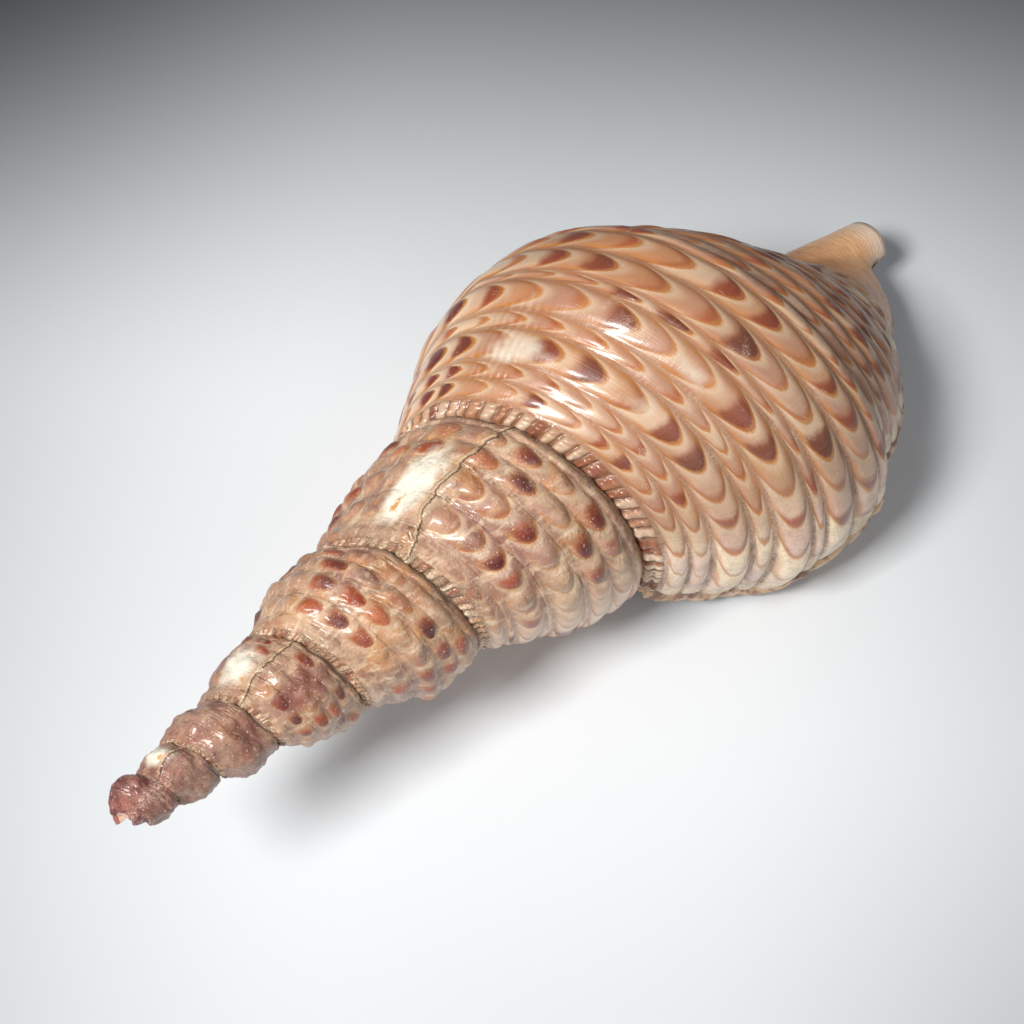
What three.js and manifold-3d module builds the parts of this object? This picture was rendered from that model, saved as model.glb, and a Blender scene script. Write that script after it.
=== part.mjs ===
// A triton's trumpet: a large spired sea shell, lying on a table with its aperture down.
// Millimetres, +Z up. The spire points along -X and rises, the canal points along +X and the outer
// lip faces -Y.
// The shell grew as one piece, so it is one closed solid: the outside is a strip that winds round
// the axis from the broken apex to the outer lip, and the inside is the tube that the animal lived in.
import * as THREE from 'three';
import { mergeVertices } from 'three/addons/utils/BufferGeometryUtils.js';
import Module from 'manifold-3d';

// Growth. A turn is counted from the outer lip, which is 0, back to the apex, which is negative.
const FIRST_TURN = -6.8;
const LIP_RADIUS = 78.5;
const RADIUS_GROWTH = 0.482;
const RADIUS_GROWTH_BEND = 0.0207;
const LIP_SUTURE_HEIGHT = 221.6;
const HEIGHT_GROWTH = 0.357;
const HEIGHT_GROWTH_BEND = 0.0073;
const APEX_RADIUS = 9;
const APEX_CROWN = 2.4;

// A whorl's side from its upper suture down to the next one: share of the way, radius, height.
const SIDE = [
  [0, 0.603, 0],
  [0.136, 0.728, 0.098],
  [0.412, 0.905, 0.369],
  [0.61, 1, 0.581],
  [0.9, 0.981, 0.922],
  [1, 0.895, 1],
];
// The last whorl's base below that: height and radius.
const BASE = [
  [1, 0.895],
  [1.229, 0.798],
  [1.45, 0.61],
  [1.639, 0.414],
  [1.804, 0.238],
  [1.92, 0.1],
  [2.02, 0],
];
const WHORL_RATIO = 1.4853;

// Old outer lips stand out as rounded ridges, one every two thirds of a turn.
const VARIX_SPACING = 2 / 3;
const VARIX_RISE = 0.06;
const VARIX_LENGTH = 0.04;
const VARIX_EDGE = 0.006;
const LIP_FLARE = 0.05;
const LIP_FLARE_LENGTH = 0.04;
// Where a whorl is leaner or fuller between its sutures: turn, share of the radius, length in turns.
const FULLNESS = [
  [-3.5, -0.05, 0.1],
  [-1.5, -0.14, 0.12],
  [-1.02, -0.09, 0.13],
  [-0.12, 0.03, 0.1],
];

// The canal at the front end, and the pillar that the whorls wind round.
const CANAL_TIP = 396;
const CANAL_TIP_RADIUS = 7.8;
const CANAL_FOOT_RADIUS = 9.5;
const CANAL_FOOT_LENGTH = 45;
const PILLAR_RADIUS = 15;
const PILLAR_LENGTH = 140;
const GROOVE_START = 325;
const GROOVE_FULL = 350;
const GROOVE_DEPTH = 0.65;
const GROOVE_WIDTH = 0.15;
const GROOVE_EDGE = 0.03;
const BLEND = 6;
const BEND_START = 303;
const BEND_DOWN = 4.3;
const BEND_TO_LIP = 9.5;
const TIP_CROWN = 2;
const TIP_TAPER_LENGTH = 22;
// On the far side of the lip the base draws in towards the canal sooner.
const BASE_TUCK = 0.2;
const TUCK_FROM = -0.1;
const TUCK_FULL = -0.45;

// Spiral cords: place on the side (over 1 is on the base), half width, height in mm at the lip.
const CORDS = [
  [0.137, 0.038, 0.7],
  [0.212, 0.032, 0.6],
  [0.307, 0.058, 1.5],
  [0.404, 0.032, 0.6],
  [0.505, 0.064, 1.6],
  [0.596, 0.022, 0.5],
  [0.676, 0.058, 1.6],
  [0.798, 0.058, 1.5],
  [0.9, 0.036, 0.7],
  [1.02, 0.05, 1.3],
  [1.11, 0.03, 0.8],
  [1.19, 0.04, 1.1],
  [1.27, 0.03, 0.8],
  [1.35, 0.04, 1],
  [1.45, 0.04, 0.8],
  [1.55, 0.04, 0.6],
];
const WIDE_CORD = 0.045;
const LIP_CORD_GAIN = 1.0;
const LIP_CORD_LENGTH = 0.12;
// The pleated band below the suture.
const BAND_WIDTH = 0.095;
const BAND_RISE = 0.9;
const PLEAT_RISE = 0.7;
const PLEATS_PER_TURN = 48;

// The tube inside.
const WALL = 3.4;
const LIP_WALL = 4.5;
const PARIETAL_WALL = 1.2;
const TUBE_FIRST_TURN = -3.3;
const TUBE_STEPS_PER_TURN = 16;
const TUBE_POINTS = 22;
const TUBE_CENTRE = 0.8;
const TUBE_CENTRE_RADIUS = 0.6;
const TUBE_FRONT = 1.62;
const MOUTH_LENGTH = 0.12;

// How it lies.
const LIP_ANGLE = -28.6;
const APEX_LIFT = 10.7;
const FLOOR_TRIM = 1.5;

// How finely it is faceted: columns per turn, and the turns where the finer rows start.
const MOST_COLUMNS = 34;
const FEWEST_COLUMNS = 14;
const ROW_STARTS = [-4, -2];
const PLEATS_FROM = -3;

const TAU = 2 * Math.PI;
const wasm = await Module();
wasm.setup();

function smooth(from, to, x) {
  const u = THREE.MathUtils.clamp((x - from) / (to - from), 0, 1);
  return u * u * (3 - 2 * u);
}

function gauss(x, width) {
  return Math.exp(-((x / width) ** 2));
}

// A curve through rows of numbers, led by the first number of each row.
function through(rows, lead) {
  let i = 0;
  while (i < rows.length - 2 && lead > rows[i + 1][0]) i += 1;
  const b = rows[i];
  const c = rows[i + 1];
  const a = rows[i - 1] ?? b.map((v, k) => 2 * v - c[k]);
  const d = rows[i + 2] ?? c.map((v, k) => 2 * v - b[k]);
  const u = THREE.MathUtils.clamp((lead - b[0]) / (c[0] - b[0]), 0, 1);
  return b.slice(1).map((v, k) => {
    const [p0, p1, p2, p3] = [a[k + 1], v, c[k + 1], d[k + 1]];
    const bend = (2 * p0 - 5 * p1 + 4 * p2 - p3) * u * u + (3 * p1 - p0 - 3 * p2 + p3) * u * u * u;
    return 0.5 * (2 * p1 + (p2 - p0) * u + bend);
  });
}

function plainRadius(turn) {
  return LIP_RADIUS * Math.exp(RADIUS_GROWTH * turn + RADIUS_GROWTH_BEND * turn * turn);
}

function sutureHeight(turn) {
  return LIP_SUTURE_HEIGHT * Math.exp(HEIGHT_GROWTH * turn + HEIGHT_GROWTH_BEND * turn * turn);
}

function growthStages(turn) {
  let change = 0;
  const since = THREE.MathUtils.euclideanModulo(turn, VARIX_SPACING);
  const before = VARIX_SPACING - since;
  if (turn < -0.5 * VARIX_SPACING) {
    change += VARIX_RISE * Math.max(gauss(before, VARIX_LENGTH), 1 - since / VARIX_EDGE);
  }
  if (turn > -0.5 * VARIX_SPACING) {
    change += LIP_FLARE * Math.exp(-Math.abs(turn) / LIP_FLARE_LENGTH);
  }
  return change;
}

function radius(turn) {
  const grown = plainRadius(turn) * (1 + growthStages(turn));
  return (grown ** 6 + APEX_RADIUS ** 6) ** (1 / 6);
}

function fullness(turn, place) {
  const open = smooth(-1, -0.8, turn);
  const belly = Math.sin(Math.PI * Math.min(place, 1));
  const share = place < 0.5 ? belly : THREE.MathUtils.lerp(belly, 1, open);
  let change = 0;
  for (const [at, gain, length] of FULLNESS) change += gain * gauss(turn - at, length);
  return 1 + share * change;
}

// The side widens downwards by as much as the next whorl needs to meet it.
function widening(turn) {
  return radius(turn + 1) / (WHORL_RATIO * radius(turn));
}

function softMax(a, b) {
  return 0.5 * (a + b + Math.sqrt((a - b) ** 2 + BLEND * BLEND));
}

function pillar(turn, height) {
  const toTip = CANAL_TIP - height;
  const slim = CANAL_TIP_RADIUS + (PILLAR_RADIUS - CANAL_TIP_RADIUS) * Math.min(1, toTip / PILLAR_LENGTH);
  const cone = CANAL_TIP_RADIUS + (CANAL_FOOT_RADIUS - CANAL_TIP_RADIUS) * smooth(0, CANAL_FOOT_LENGTH, toTip);
  const back = smooth(-0.9, -0.7, turn);
  const cut = smooth(GROOVE_START, GROOVE_FULL, height);
  const open = 1 - smooth(GROOVE_WIDTH, GROOVE_WIDTH + GROOVE_EDGE, turn + 1);
  return THREE.MathUtils.lerp(slim, cone, back) * (1 - GROOVE_DEPTH * cut * open);
}

function baseRadius(turn, height) {
  const past = (height - sutureHeight(turn + 1)) / (sutureHeight(turn + 1) - sutureHeight(turn));
  const rise = 1 + past * (1 + BASE_TUCK * smooth(TUCK_FROM, TUCK_FULL, turn));
  const share = rise > BASE.at(-1)[0] ? 0 : Math.max(0, through(BASE, rise)[0]);
  const tipTaper = 1 - smooth(CANAL_TIP - TIP_TAPER_LENGTH, CANAL_TIP, height);
  return radius(turn) * share * widening(turn) * fullness(turn, 1) * tipTaper;
}

// The smooth outside, as height along the axis and radius. Place 0 to 1 is the side, 1 to 2 the base.
function plainPoint(turn, place) {
  if (place <= 1) {
    const [share, rise] = through(SIDE, place);
    const wide = 1 + smooth(0, 1, place) * (widening(turn) - 1);
    return [
      THREE.MathUtils.lerp(sutureHeight(turn), sutureHeight(turn + 1), rise),
      radius(turn) * share * wide * fullness(turn, place),
    ];
  }
  const height = THREE.MathUtils.lerp(sutureHeight(turn + 1), CANAL_TIP, place - 1);
  const spiral = baseRadius(turn, height);
  const pillarShare = smooth(1, 1.12, place);
  return [height, THREE.MathUtils.lerp(spiral, softMax(spiral, pillar(turn, height)), pillarShare)];
}

function relief(turn, place) {
  const size = radius(turn) / LIP_RADIUS;
  let rise = 0;
  for (const [at, half, height] of CORDS) {
    const u = Math.abs(place - at) / half;
    if (u < 1) rise += height * (1 - u ** 4);
  }
  const lip = 1 + LIP_CORD_GAIN * smooth(-LIP_CORD_LENGTH, 0, turn);
  // Beside the mouth, where the last whorl starts, the glaze of the inner lip covers the cords.
  const bare = smooth(-1, -0.8, turn) + (turn < -1 ? 1 : 0);
  rise *= lip * bare * smooth(FIRST_TURN, FIRST_TURN + 1.5, turn);
  if (place < BAND_WIDTH && place > 0) {
    const pleat = Math.cos(TAU * turn * PLEATS_PER_TURN);
    rise += (BAND_RISE + PLEAT_RISE * pleat) * Math.sin((Math.PI * place) / BAND_WIDTH);
  }
  return rise * size;
}

function outsidePoint(turn, place) {
  const step = 0.004;
  const [h, r] = plainPoint(turn, place);
  const [h0, r0] = plainPoint(turn, Math.max(place - step, 0));
  const [h1, r1] = plainPoint(turn, Math.min(place + step, 2));
  const normal = new THREE.Vector2(r0 - r1, h1 - h0).normalize();
  const rise = relief(turn, place);
  return [h + normal.x * rise, r + normal.y * rise];
}

// From height and radius at a turn to the shell's own frame, with its axis along X.
function wind(turn, [height, r]) {
  const angle = THREE.MathUtils.degToRad(LIP_ANGLE) - TAU * turn;
  const past = Math.max(0, height - BEND_START) / 100;
  return new THREE.Vector3(
    height,
    -r * Math.cos(angle) - BEND_TO_LIP * past * past,
    r * Math.sin(angle) - BEND_DOWN * past * past,
  );
}

// All points and triangles of the solid.
const points = [];
const triangles = [];

function addPoint(point) {
  points.push(point);
  return points.length - 1;
}

// Joins two rows of { at, id }, both sorted by at, with a strip of triangles.
function zip(low, high) {
  let i = 0;
  let j = 0;
  while (i < low.length - 1 || j < high.length - 1) {
    const nextLow = i < low.length - 1 ? low[i + 1].at : Infinity;
    const nextHigh = j < high.length - 1 ? high[j + 1].at : Infinity;
    if (nextLow <= nextHigh) {
      triangles.push([low[i].id, low[i + 1].id, high[j].id]);
      i += 1;
    } else {
      triangles.push([low[i].id, high[j + 1].id, high[j].id]);
      j += 1;
    }
  }
}

function span(row, from, to) {
  const slack = 1e-6;
  return row.filter(({ at }) => at > from - slack && at < to + slack);
}

function pointAt(row, turn) {
  return span(row, turn, turn)[0].id;
}

// Where columns of points stand: closer together on the larger whorls, and at each varix.
function columns() {
  const fixed = [FIRST_TURN, FIRST_TURN + 1, ...ROW_STARTS, PLEATS_FROM, -1, 0];
  for (let k = 1; k * VARIX_SPACING < -FIRST_TURN; k += 1) {
    fixed.push(-k * VARIX_SPACING, VARIX_EDGE - k * VARIX_SPACING);
  }
  fixed.sort((a, b) => a - b);
  const turns = [];
  for (let k = 0; k < fixed.length - 1; k += 1) {
    if (fixed[k + 1] - fixed[k] < 1e-6) continue;
    const perTurn = THREE.MathUtils.clamp(MOST_COLUMNS + 5 * fixed[k], FEWEST_COLUMNS, MOST_COLUMNS);
    const steps = Math.max(1, Math.round((fixed[k + 1] - fixed[k]) * perTurn));
    for (let i = 0; i < steps; i += 1) turns.push(fixed[k] + ((fixed[k + 1] - fixed[k]) * i) / steps);
  }
  return [...new Set([...turns, 0])];
}

// The pleated band has a column at each crest and each valley, on the larger whorls.
function pleatColumns(coarse) {
  const turns = coarse.filter((turn) => turn < PLEATS_FROM);
  const steps = Math.round(-PLEATS_FROM * 2 * PLEATS_PER_TURN);
  for (let k = steps; k >= 0; k -= 1) turns.push(-k / (2 * PLEATS_PER_TURN));
  return turns;
}

// Rows of the side, each with the turn where it starts: the band, then the valleys, shoulders and
// crests of the cords. Small cords start later, so the small whorls have few rows.
function sidePlaces() {
  const places = [[0, FIRST_TURN], [BAND_WIDTH * 0.3, FIRST_TURN], [BAND_WIDTH * 0.7, PLEATS_FROM]];
  for (const [at, half] of CORDS) {
    if (at > 0.95) break;
    const wide = half > WIDE_CORD;
    places.push([at - half, wide ? ROW_STARTS[0] : ROW_STARTS[1]]);
    if (wide) places.push([at - 0.6 * half, FIRST_TURN], [at + 0.6 * half, ROW_STARTS[0]]);
    else places.push([at, ROW_STARTS[1]]);
  }
  return [...places, [0.945, FIRST_TURN]];
}

function basePlaces() {
  const places = [1];
  for (const [at, half] of CORDS) {
    if (at > 1 && at - half > 1) places.push(at - half);
    if (at > 1) places.push(at);
  }
  return [...places, 1.62, 1.72, 1.82, 1.92, 2];
}

function rowOf(place, turns) {
  return turns.map((turn) => ({ at: turn, id: addPoint(wind(turn, outsidePoint(turn, place))) }));
}

// The side winds from the apex to the lip.
const coarse = columns();
const fine = pleatColumns(coarse);
const sideRows = sidePlaces().map(([place, start]) => {
  const turns = (place < BAND_WIDTH ? fine : coarse).filter((turn) => turn > start - 1e-6);
  return { start, row: rowOf(place, turns) };
});
const stages = [FIRST_TURN, ...ROW_STARTS, PLEATS_FROM, 0].sort((a, b) => a - b);
for (let k = 0; k < stages.length - 1; k += 1) {
  const [from, to] = [stages[k], stages[k + 1]];
  const active = sideRows.filter(({ start }) => start < from + 1e-6);
  for (let i = 0; i < active.length - 1; i += 1) {
    zip(span(active[i].row, from, to), span(active[i + 1].row, from, to));
  }
  let last = active[0];
  let started = [];
  for (const next of active) {
    if (next.start > from - 1e-6 && k > 0) {
      started.push(next);
    } else {
      const ids = [last, ...started].map(({ row }) => pointAt(row, from));
      const end = pointAt(next.row, from);
      for (let i = 0; i < started.length; i += 1) triangles.push([ids[i], ids[i + 1], end]);
      last = next;
      started = [];
    }
  }
}

// A whorl's side ends on the next whorl's suture, and on the last whorl the base goes on to the canal.
const suture = sideRows[0].row;
const lastSide = sideRows.at(-1).row;
const nextSuture = span(suture, FIRST_TURN + 1, 0).map(({ at, id }) => ({ at: at - 1, id }));
zip(span(lastSide, FIRST_TURN, -1), nextSuture);
const lastTurn = coarse.filter((turn) => turn > -1 - 1e-6);
const baseRows = basePlaces().map((place) => rowOf(place, lastTurn));
baseRows[0][0].id = suture.at(-1).id;
zip(span(lastSide, -1, 0), baseRows[0]);
for (let k = 0; k < baseRows.length - 1; k += 1) {
  zip(baseRows[k], baseRows[k + 1]);
}

// The broken apex, and the tip of the canal.
const firstWhorl = span(suture, FIRST_TURN, FIRST_TURN + 1).map(({ id }) => id);
const firstColumn = sideRows.filter(({ start }) => start === FIRST_TURN).map(({ row }) => row[0].id);
const apexRim = [...firstWhorl, ...firstColumn.reverse().slice(0, -1)];
const apex = addPoint(wind(FIRST_TURN, [sutureHeight(FIRST_TURN) - APEX_CROWN, 0]));
apexRim.forEach((id, k) => triangles.push([id, apex, apexRim[(k + 1) % apexRim.length]]));
const tipRim = baseRows.at(-1).map(({ id }) => id);
const tip = addPoint(wind(0, [CANAL_TIP + TIP_CROWN, 0]));
tipRim.forEach((id, k) => triangles.push([id, tipRim[(k + 1) % tipRim.length], tip]));

// The tube inside. At each turn it fills what lies between the whorl's own side and the whorl above.
function tubeOutline(turn) {
  const [low, high] = [sutureHeight(turn), sutureHeight(turn + 1)];
  const outer = [];
  const inner = [];
  for (let k = 0; k <= 12; k += 1) outer.push(plainPoint(turn, k / 12));
  for (let k = 1; k <= 8; k += 1) {
    const height = THREE.MathUtils.lerp(low, high, 1 + ((TUBE_FRONT - 1) * k) / 8);
    outer.push([height, baseRadius(turn, height)]);
  }
  for (let k = 0; k <= 16; k += 1) {
    const height = THREE.MathUtils.lerp(low, high, (TUBE_FRONT * k) / 16);
    const thick = (PILLAR_RADIUS * plainRadius(turn)) / LIP_RADIUS;
    const slim = THREE.MathUtils.lerp(thick, pillar(-1, height), smooth(-MOUTH_LENGTH, 0, turn));
    inner.push([height, softMax(baseRadius(turn - 1, height), slim)]);
  }
  return { outer, inner };
}

function distance([x, y], [ax, ay], [bx, by]) {
  const [dx, dy] = [bx - ax, by - ay];
  const u = THREE.MathUtils.clamp(((x - ax) * dx + (y - ay) * dy) / (dx * dx + dy * dy || 1), 0, 1);
  return Math.hypot(x - ax - u * dx, y - ay - u * dy);
}

function clearOf(point, line, gap) {
  return line.every((end, k) => k === 0 || distance(point, line[k - 1], end) > gap);
}

function tubeCentre(turn) {
  const height = THREE.MathUtils.lerp(sutureHeight(turn), sutureHeight(turn + 1), TUBE_CENTRE);
  return [height, TUBE_CENTRE_RADIUS * radius(turn)];
}

function tubeLoop(turn, firstAngle) {
  const { outer, inner } = tubeOutline(turn);
  const centre = tubeCentre(turn);
  const size = plainRadius(turn) / LIP_RADIUS;
  const wall = (WALL + (LIP_WALL - WALL) * smooth(-0.05, 0, turn)) * size;
  const front = [outer.at(-1), inner.at(-1)];
  const loop = [];
  for (let k = 0; k < TUBE_POINTS; k += 1) {
    const at = firstAngle + (TAU * k) / TUBE_POINTS;
    let reach = 0;
    let point = centre;
    for (let next = centre; reach < 3 * LIP_RADIUS; reach += 0.25) {
      next = [centre[0] + reach * Math.cos(at), centre[1] + reach * Math.sin(at)];
      const free = clearOf(next, outer, wall) && clearOf(next, inner, PARIETAL_WALL * size);
      if (!free || !clearOf(next, front, wall)) break;
      point = next;
    }
    loop.push({ at, id: addPoint(wind(turn, point)) });
  }
  return [...loop, { at: firstAngle + TAU, id: loop[0].id }];
}

// The lip's face lies between the outer lip, the pillar and the mouth of the tube.
const lipRows = sideRows.map(({ row }) => row.at(-1).id);
const lipIds = [...lipRows, ...baseRows.map((row) => row.at(-1).id)].reverse();
const innerIds = baseRows.slice(1).map((row) => row[0].id);
const mouthCentre = wind(0, tubeCentre(0));
const outward = wind(0, [tubeCentre(0)[0], tubeCentre(0)[1] + 1]).sub(mouthCentre);
const angles = [];
const lipLoop = [...lipIds, ...innerIds].map((id) => {
  const away = points[id].clone().sub(mouthCentre);
  let at = Math.atan2(away.dot(outward), away.x);
  while (angles.length > 0 && at < angles.at(-1) - 0.5 * Math.PI) at += TAU;
  angles.push(Math.max(at, (angles.at(-1) ?? -Infinity) + 1e-4));
  return { at: angles.at(-1), id };
});
lipLoop.push({ at: lipLoop[0].at + TAU, id: lipLoop[0].id });
const tubeTurns = [0, -0.02];
for (let turn = -1 / TUBE_STEPS_PER_TURN; turn > TUBE_FIRST_TURN; turn -= 1 / TUBE_STEPS_PER_TURN) {
  tubeTurns.push(turn);
}
const loops = tubeTurns.map((turn) => tubeLoop(turn, lipLoop[0].at));
zip(lipLoop, loops[0]);
for (let k = 0; k < loops.length - 1; k += 1) {
  zip(loops[k], loops[k + 1]);
}
const tubeEnd = addPoint(wind(tubeTurns.at(-1) - 0.01, tubeCentre(tubeTurns.at(-1))));
loops.at(-1).slice(1).forEach(({ id }, k) => triangles.push([loops.at(-1)[k].id, id, tubeEnd]));

// A solid for cutting, from points and triangles that already share their corners.
function solidOf(corners, faces) {
  const vertProperties = new Float32Array(corners.flatMap(({ x, y, z }) => [x, y, z]));
  return new wasm.Manifold(new wasm.Mesh({ numProp: 3, vertProperties, triVerts: new Uint32Array(faces.flat()) }));
}

function solidOfGeometry(source) {
  source.deleteAttribute('normal');
  source.deleteAttribute('uv');
  const merged = mergeVertices(source);
  const triVerts = new Uint32Array(merged.index.array);
  return new wasm.Manifold(new wasm.Mesh({ numProp: 3, vertProperties: merged.attributes.position.array, triVerts }));
}

function geometryOf(solid) {
  const mesh = solid.getMesh();
  const geometry = new THREE.BufferGeometry();
  geometry.setAttribute('position', new THREE.BufferAttribute(new Float32Array(mesh.vertProperties), 3));
  geometry.setIndex(new THREE.BufferAttribute(new Uint32Array(mesh.triVerts), 1));
  geometry.computeVertexNormals();
  return geometry;
}

// It leans on its lip and its belly, so both are worn flat where they touch the table.
const pose = new THREE.Matrix4().makeRotationY(THREE.MathUtils.degToRad(APEX_LIFT));
const posed = points.map((point) => point.clone().applyMatrix4(pose));
const box = new THREE.Box3().setFromPoints(posed);
const middle = box.getCenter(new THREE.Vector3());
const floor = box.min.z + FLOOR_TRIM;
const lying = posed.map((point) => point.sub(new THREE.Vector3(middle.x, middle.y, floor)));
const table = new THREE.BoxGeometry(600, 400, 50).translate(0, 0, -25);
const body = solidOf(lying, triangles).subtract(solidOfGeometry(table));

const finish = new THREE.MeshStandardMaterial({ color: '#c39a78', roughness: 0.4, metalness: 0 });
const shell = new THREE.Mesh(geometryOf(body), finish);
shell.name = 'shell';

const part = new THREE.Group();
part.add(shell);
export default part;
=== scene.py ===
import bpy
import numpy as np
from mathutils import Matrix, Vector, noise


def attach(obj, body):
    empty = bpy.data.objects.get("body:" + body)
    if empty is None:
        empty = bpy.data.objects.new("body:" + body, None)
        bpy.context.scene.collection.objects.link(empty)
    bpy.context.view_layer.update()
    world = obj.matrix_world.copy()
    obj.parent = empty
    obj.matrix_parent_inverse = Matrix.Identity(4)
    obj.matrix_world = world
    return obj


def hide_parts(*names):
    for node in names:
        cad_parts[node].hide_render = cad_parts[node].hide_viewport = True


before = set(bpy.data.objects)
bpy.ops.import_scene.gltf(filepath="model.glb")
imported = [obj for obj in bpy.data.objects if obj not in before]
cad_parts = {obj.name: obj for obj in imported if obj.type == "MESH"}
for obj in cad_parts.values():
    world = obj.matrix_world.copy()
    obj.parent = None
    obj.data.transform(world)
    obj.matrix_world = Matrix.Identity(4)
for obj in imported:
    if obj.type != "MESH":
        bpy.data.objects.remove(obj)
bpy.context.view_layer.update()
TAU = 2 * np.pi

# Growth, in millimetres and turns, as in the solid's source.
FIRST_TURN = -6.8
LIP_RADIUS = 78.5
RADIUS_GROWTH = (0.482, 0.0207)
LIP_SUTURE_HEIGHT = 221.6
HEIGHT_GROWTH = (0.357, 0.0073)
APEX_RADIUS = 9
APEX_CROWN = 2.4
SIDE = np.array([[0, 0.603, 0], [0.136, 0.728, 0.098], [0.412, 0.905, 0.369],
                 [0.61, 1, 0.581], [0.9, 0.981, 0.922], [1, 0.895, 1]])
BASE = np.array([[1, 0.895], [1.229, 0.798], [1.45, 0.61], [1.639, 0.414],
                 [1.804, 0.238], [1.92, 0.1], [2.02, 0]])
WHORL_RATIO = 1.4853
VARIX_SPACING = 2 / 3
VARIX_RISE = 0.06
VARIX_LENGTH = 0.04
VARIX_EDGE = 0.006
LIP_FLARE = 0.05
LIP_FLARE_LENGTH = 0.04
FULLNESS = [(-3.5, -0.05, 0.1), (-1.5, -0.14, 0.12), (-1.02, -0.09, 0.13), (-0.12, 0.03, 0.1)]
CANAL_TIP = 396
CANAL_TIP_RADIUS = 7.8
CANAL_FOOT_RADIUS = 9.5
CANAL_FOOT_LENGTH = 45
PILLAR_RADIUS = 15
PILLAR_LENGTH = 140
GROOVE = (325, 350, 0.65, 0.15, 0.03)
BLEND = 6
BEND_START = 303
BEND_DOWN = 4.3
BEND_TO_LIP = 9.5
TIP_CROWN = 2
TIP_TAPER_LENGTH = 22
BASE_TUCK = 0.2
LIP_ANGLE = -28.6
APEX_LIFT = 10.7
SHIFT = np.array([207.466, -10.671, -97.621])


def smooth(lo, hi, x):
    u = np.clip((x - lo) / (hi - lo), 0, 1)
    return u * u * (3 - 2 * u)


def gauss(x, width):
    return np.exp(-((x / width) ** 2))


def lerp(a, b, u):
    return a + (b - a) * u


def through(rows, lead):
    """A curve through rows of numbers, led by each row's first number."""
    i = np.clip(np.searchsorted(rows[:, 0], lead, side="left") - 1, 0, len(rows) - 2)
    ext = np.vstack([2 * rows[0] - rows[1], rows, 2 * rows[-1] - rows[-2]])
    a, b, c, d = ext[i], ext[i + 1], ext[i + 2], ext[i + 3]
    u = np.clip((lead - b[..., 0]) / (c[..., 0] - b[..., 0]), 0, 1)[..., None]
    bend = (2 * a - 5 * b + 4 * c - d) * u**2 + (3 * b - a - 3 * c + d) * u**3
    return (0.5 * (2 * b + (c - a) * u + bend))[..., 1:]


def plain_radius(t):
    return LIP_RADIUS * np.exp(RADIUS_GROWTH[0] * t + RADIUS_GROWTH[1] * t * t)


def suture_height(t):
    return LIP_SUTURE_HEIGHT * np.exp(HEIGHT_GROWTH[0] * t + HEIGHT_GROWTH[1] * t * t)


def growth_stages(t):
    since = np.mod(t + 1e-9, VARIX_SPACING)
    before = VARIX_SPACING - since
    ridge = VARIX_RISE * np.maximum(gauss(before, VARIX_LENGTH), 1 - since / VARIX_EDGE)
    flare = LIP_FLARE * np.exp(-np.abs(t) / LIP_FLARE_LENGTH)
    return np.where(t < -0.5 * VARIX_SPACING, ridge, flare)


def radius(t):
    return ((plain_radius(t) * (1 + growth_stages(t))) ** 6 + APEX_RADIUS**6) ** (1 / 6)


def fullness(t, place):
    opening = smooth(-1, -0.8, t)
    belly = np.sin(np.pi * np.minimum(place, 1))
    share = np.where(place < 0.5, belly, lerp(belly, 1, opening))
    change = sum(gain * gauss(t - at, length) for at, gain, length in FULLNESS)
    return 1 + share * change


def widening(t):
    return radius(t + 1) / (WHORL_RATIO * radius(t))


def soft_max(a, b):
    return 0.5 * (a + b + np.sqrt((a - b) ** 2 + BLEND * BLEND))


def pillar(t, height):
    to_tip = CANAL_TIP - height
    slim = CANAL_TIP_RADIUS + (PILLAR_RADIUS - CANAL_TIP_RADIUS) * np.minimum(1, to_tip / PILLAR_LENGTH)
    cone = CANAL_TIP_RADIUS + (CANAL_FOOT_RADIUS - CANAL_TIP_RADIUS) * smooth(0, CANAL_FOOT_LENGTH, to_tip)
    start, full, depth, width, edge = GROOVE
    cut = smooth(start, full, height)
    opening = 1 - smooth(width, width + edge, t + 1)
    return lerp(slim, cone, smooth(-0.9, -0.7, t)) * (1 - depth * cut * opening)


def base_radius(t, height):
    past = (height - suture_height(t + 1)) / (suture_height(t + 1) - suture_height(t))
    rise = 1 + past * (1 + BASE_TUCK * smooth(0.1, 0.45, -t))
    share = np.where(rise > BASE[-1, 0], 0, np.maximum(0, through(BASE, rise)[..., 0]))
    taper = 1 - smooth(CANAL_TIP - TIP_TAPER_LENGTH, CANAL_TIP, height)
    return radius(t) * share * widening(t) * fullness(t, np.ones_like(t)) * taper


def plain_point(t, place):
    """Height along the axis and radius of the smooth outside."""
    side = through(SIDE, np.minimum(place, 1))
    wide = 1 + smooth(0, 1, place) * (widening(t) - 1)
    side_height = lerp(suture_height(t), suture_height(t + 1), side[..., 1])
    side_radius = radius(t) * side[..., 0] * wide * fullness(t, place)
    height = lerp(suture_height(t + 1), CANAL_TIP, place - 1)
    spiral = base_radius(t, height)
    base = lerp(spiral, soft_max(spiral, pillar(t, height)), smooth(1, 1.12, place))
    return np.where(place <= 1, side_height, height), np.where(place <= 1, side_radius, base)


def wind(t, height, r):
    """From height and radius at a turn to the part's frame, in millimetres."""
    angle = np.radians(LIP_ANGLE) - TAU * t
    past = np.maximum(0, height - BEND_START) / 100
    x = height
    y = -r * np.cos(angle) - BEND_TO_LIP * past * past
    z = r * np.sin(angle) - BEND_DOWN * past * past
    c, s = np.cos(np.radians(APEX_LIFT)), np.sin(np.radians(APEX_LIFT))
    return np.stack([x * c + z * s, y, z * c - x * s], -1) - SHIFT


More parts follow.
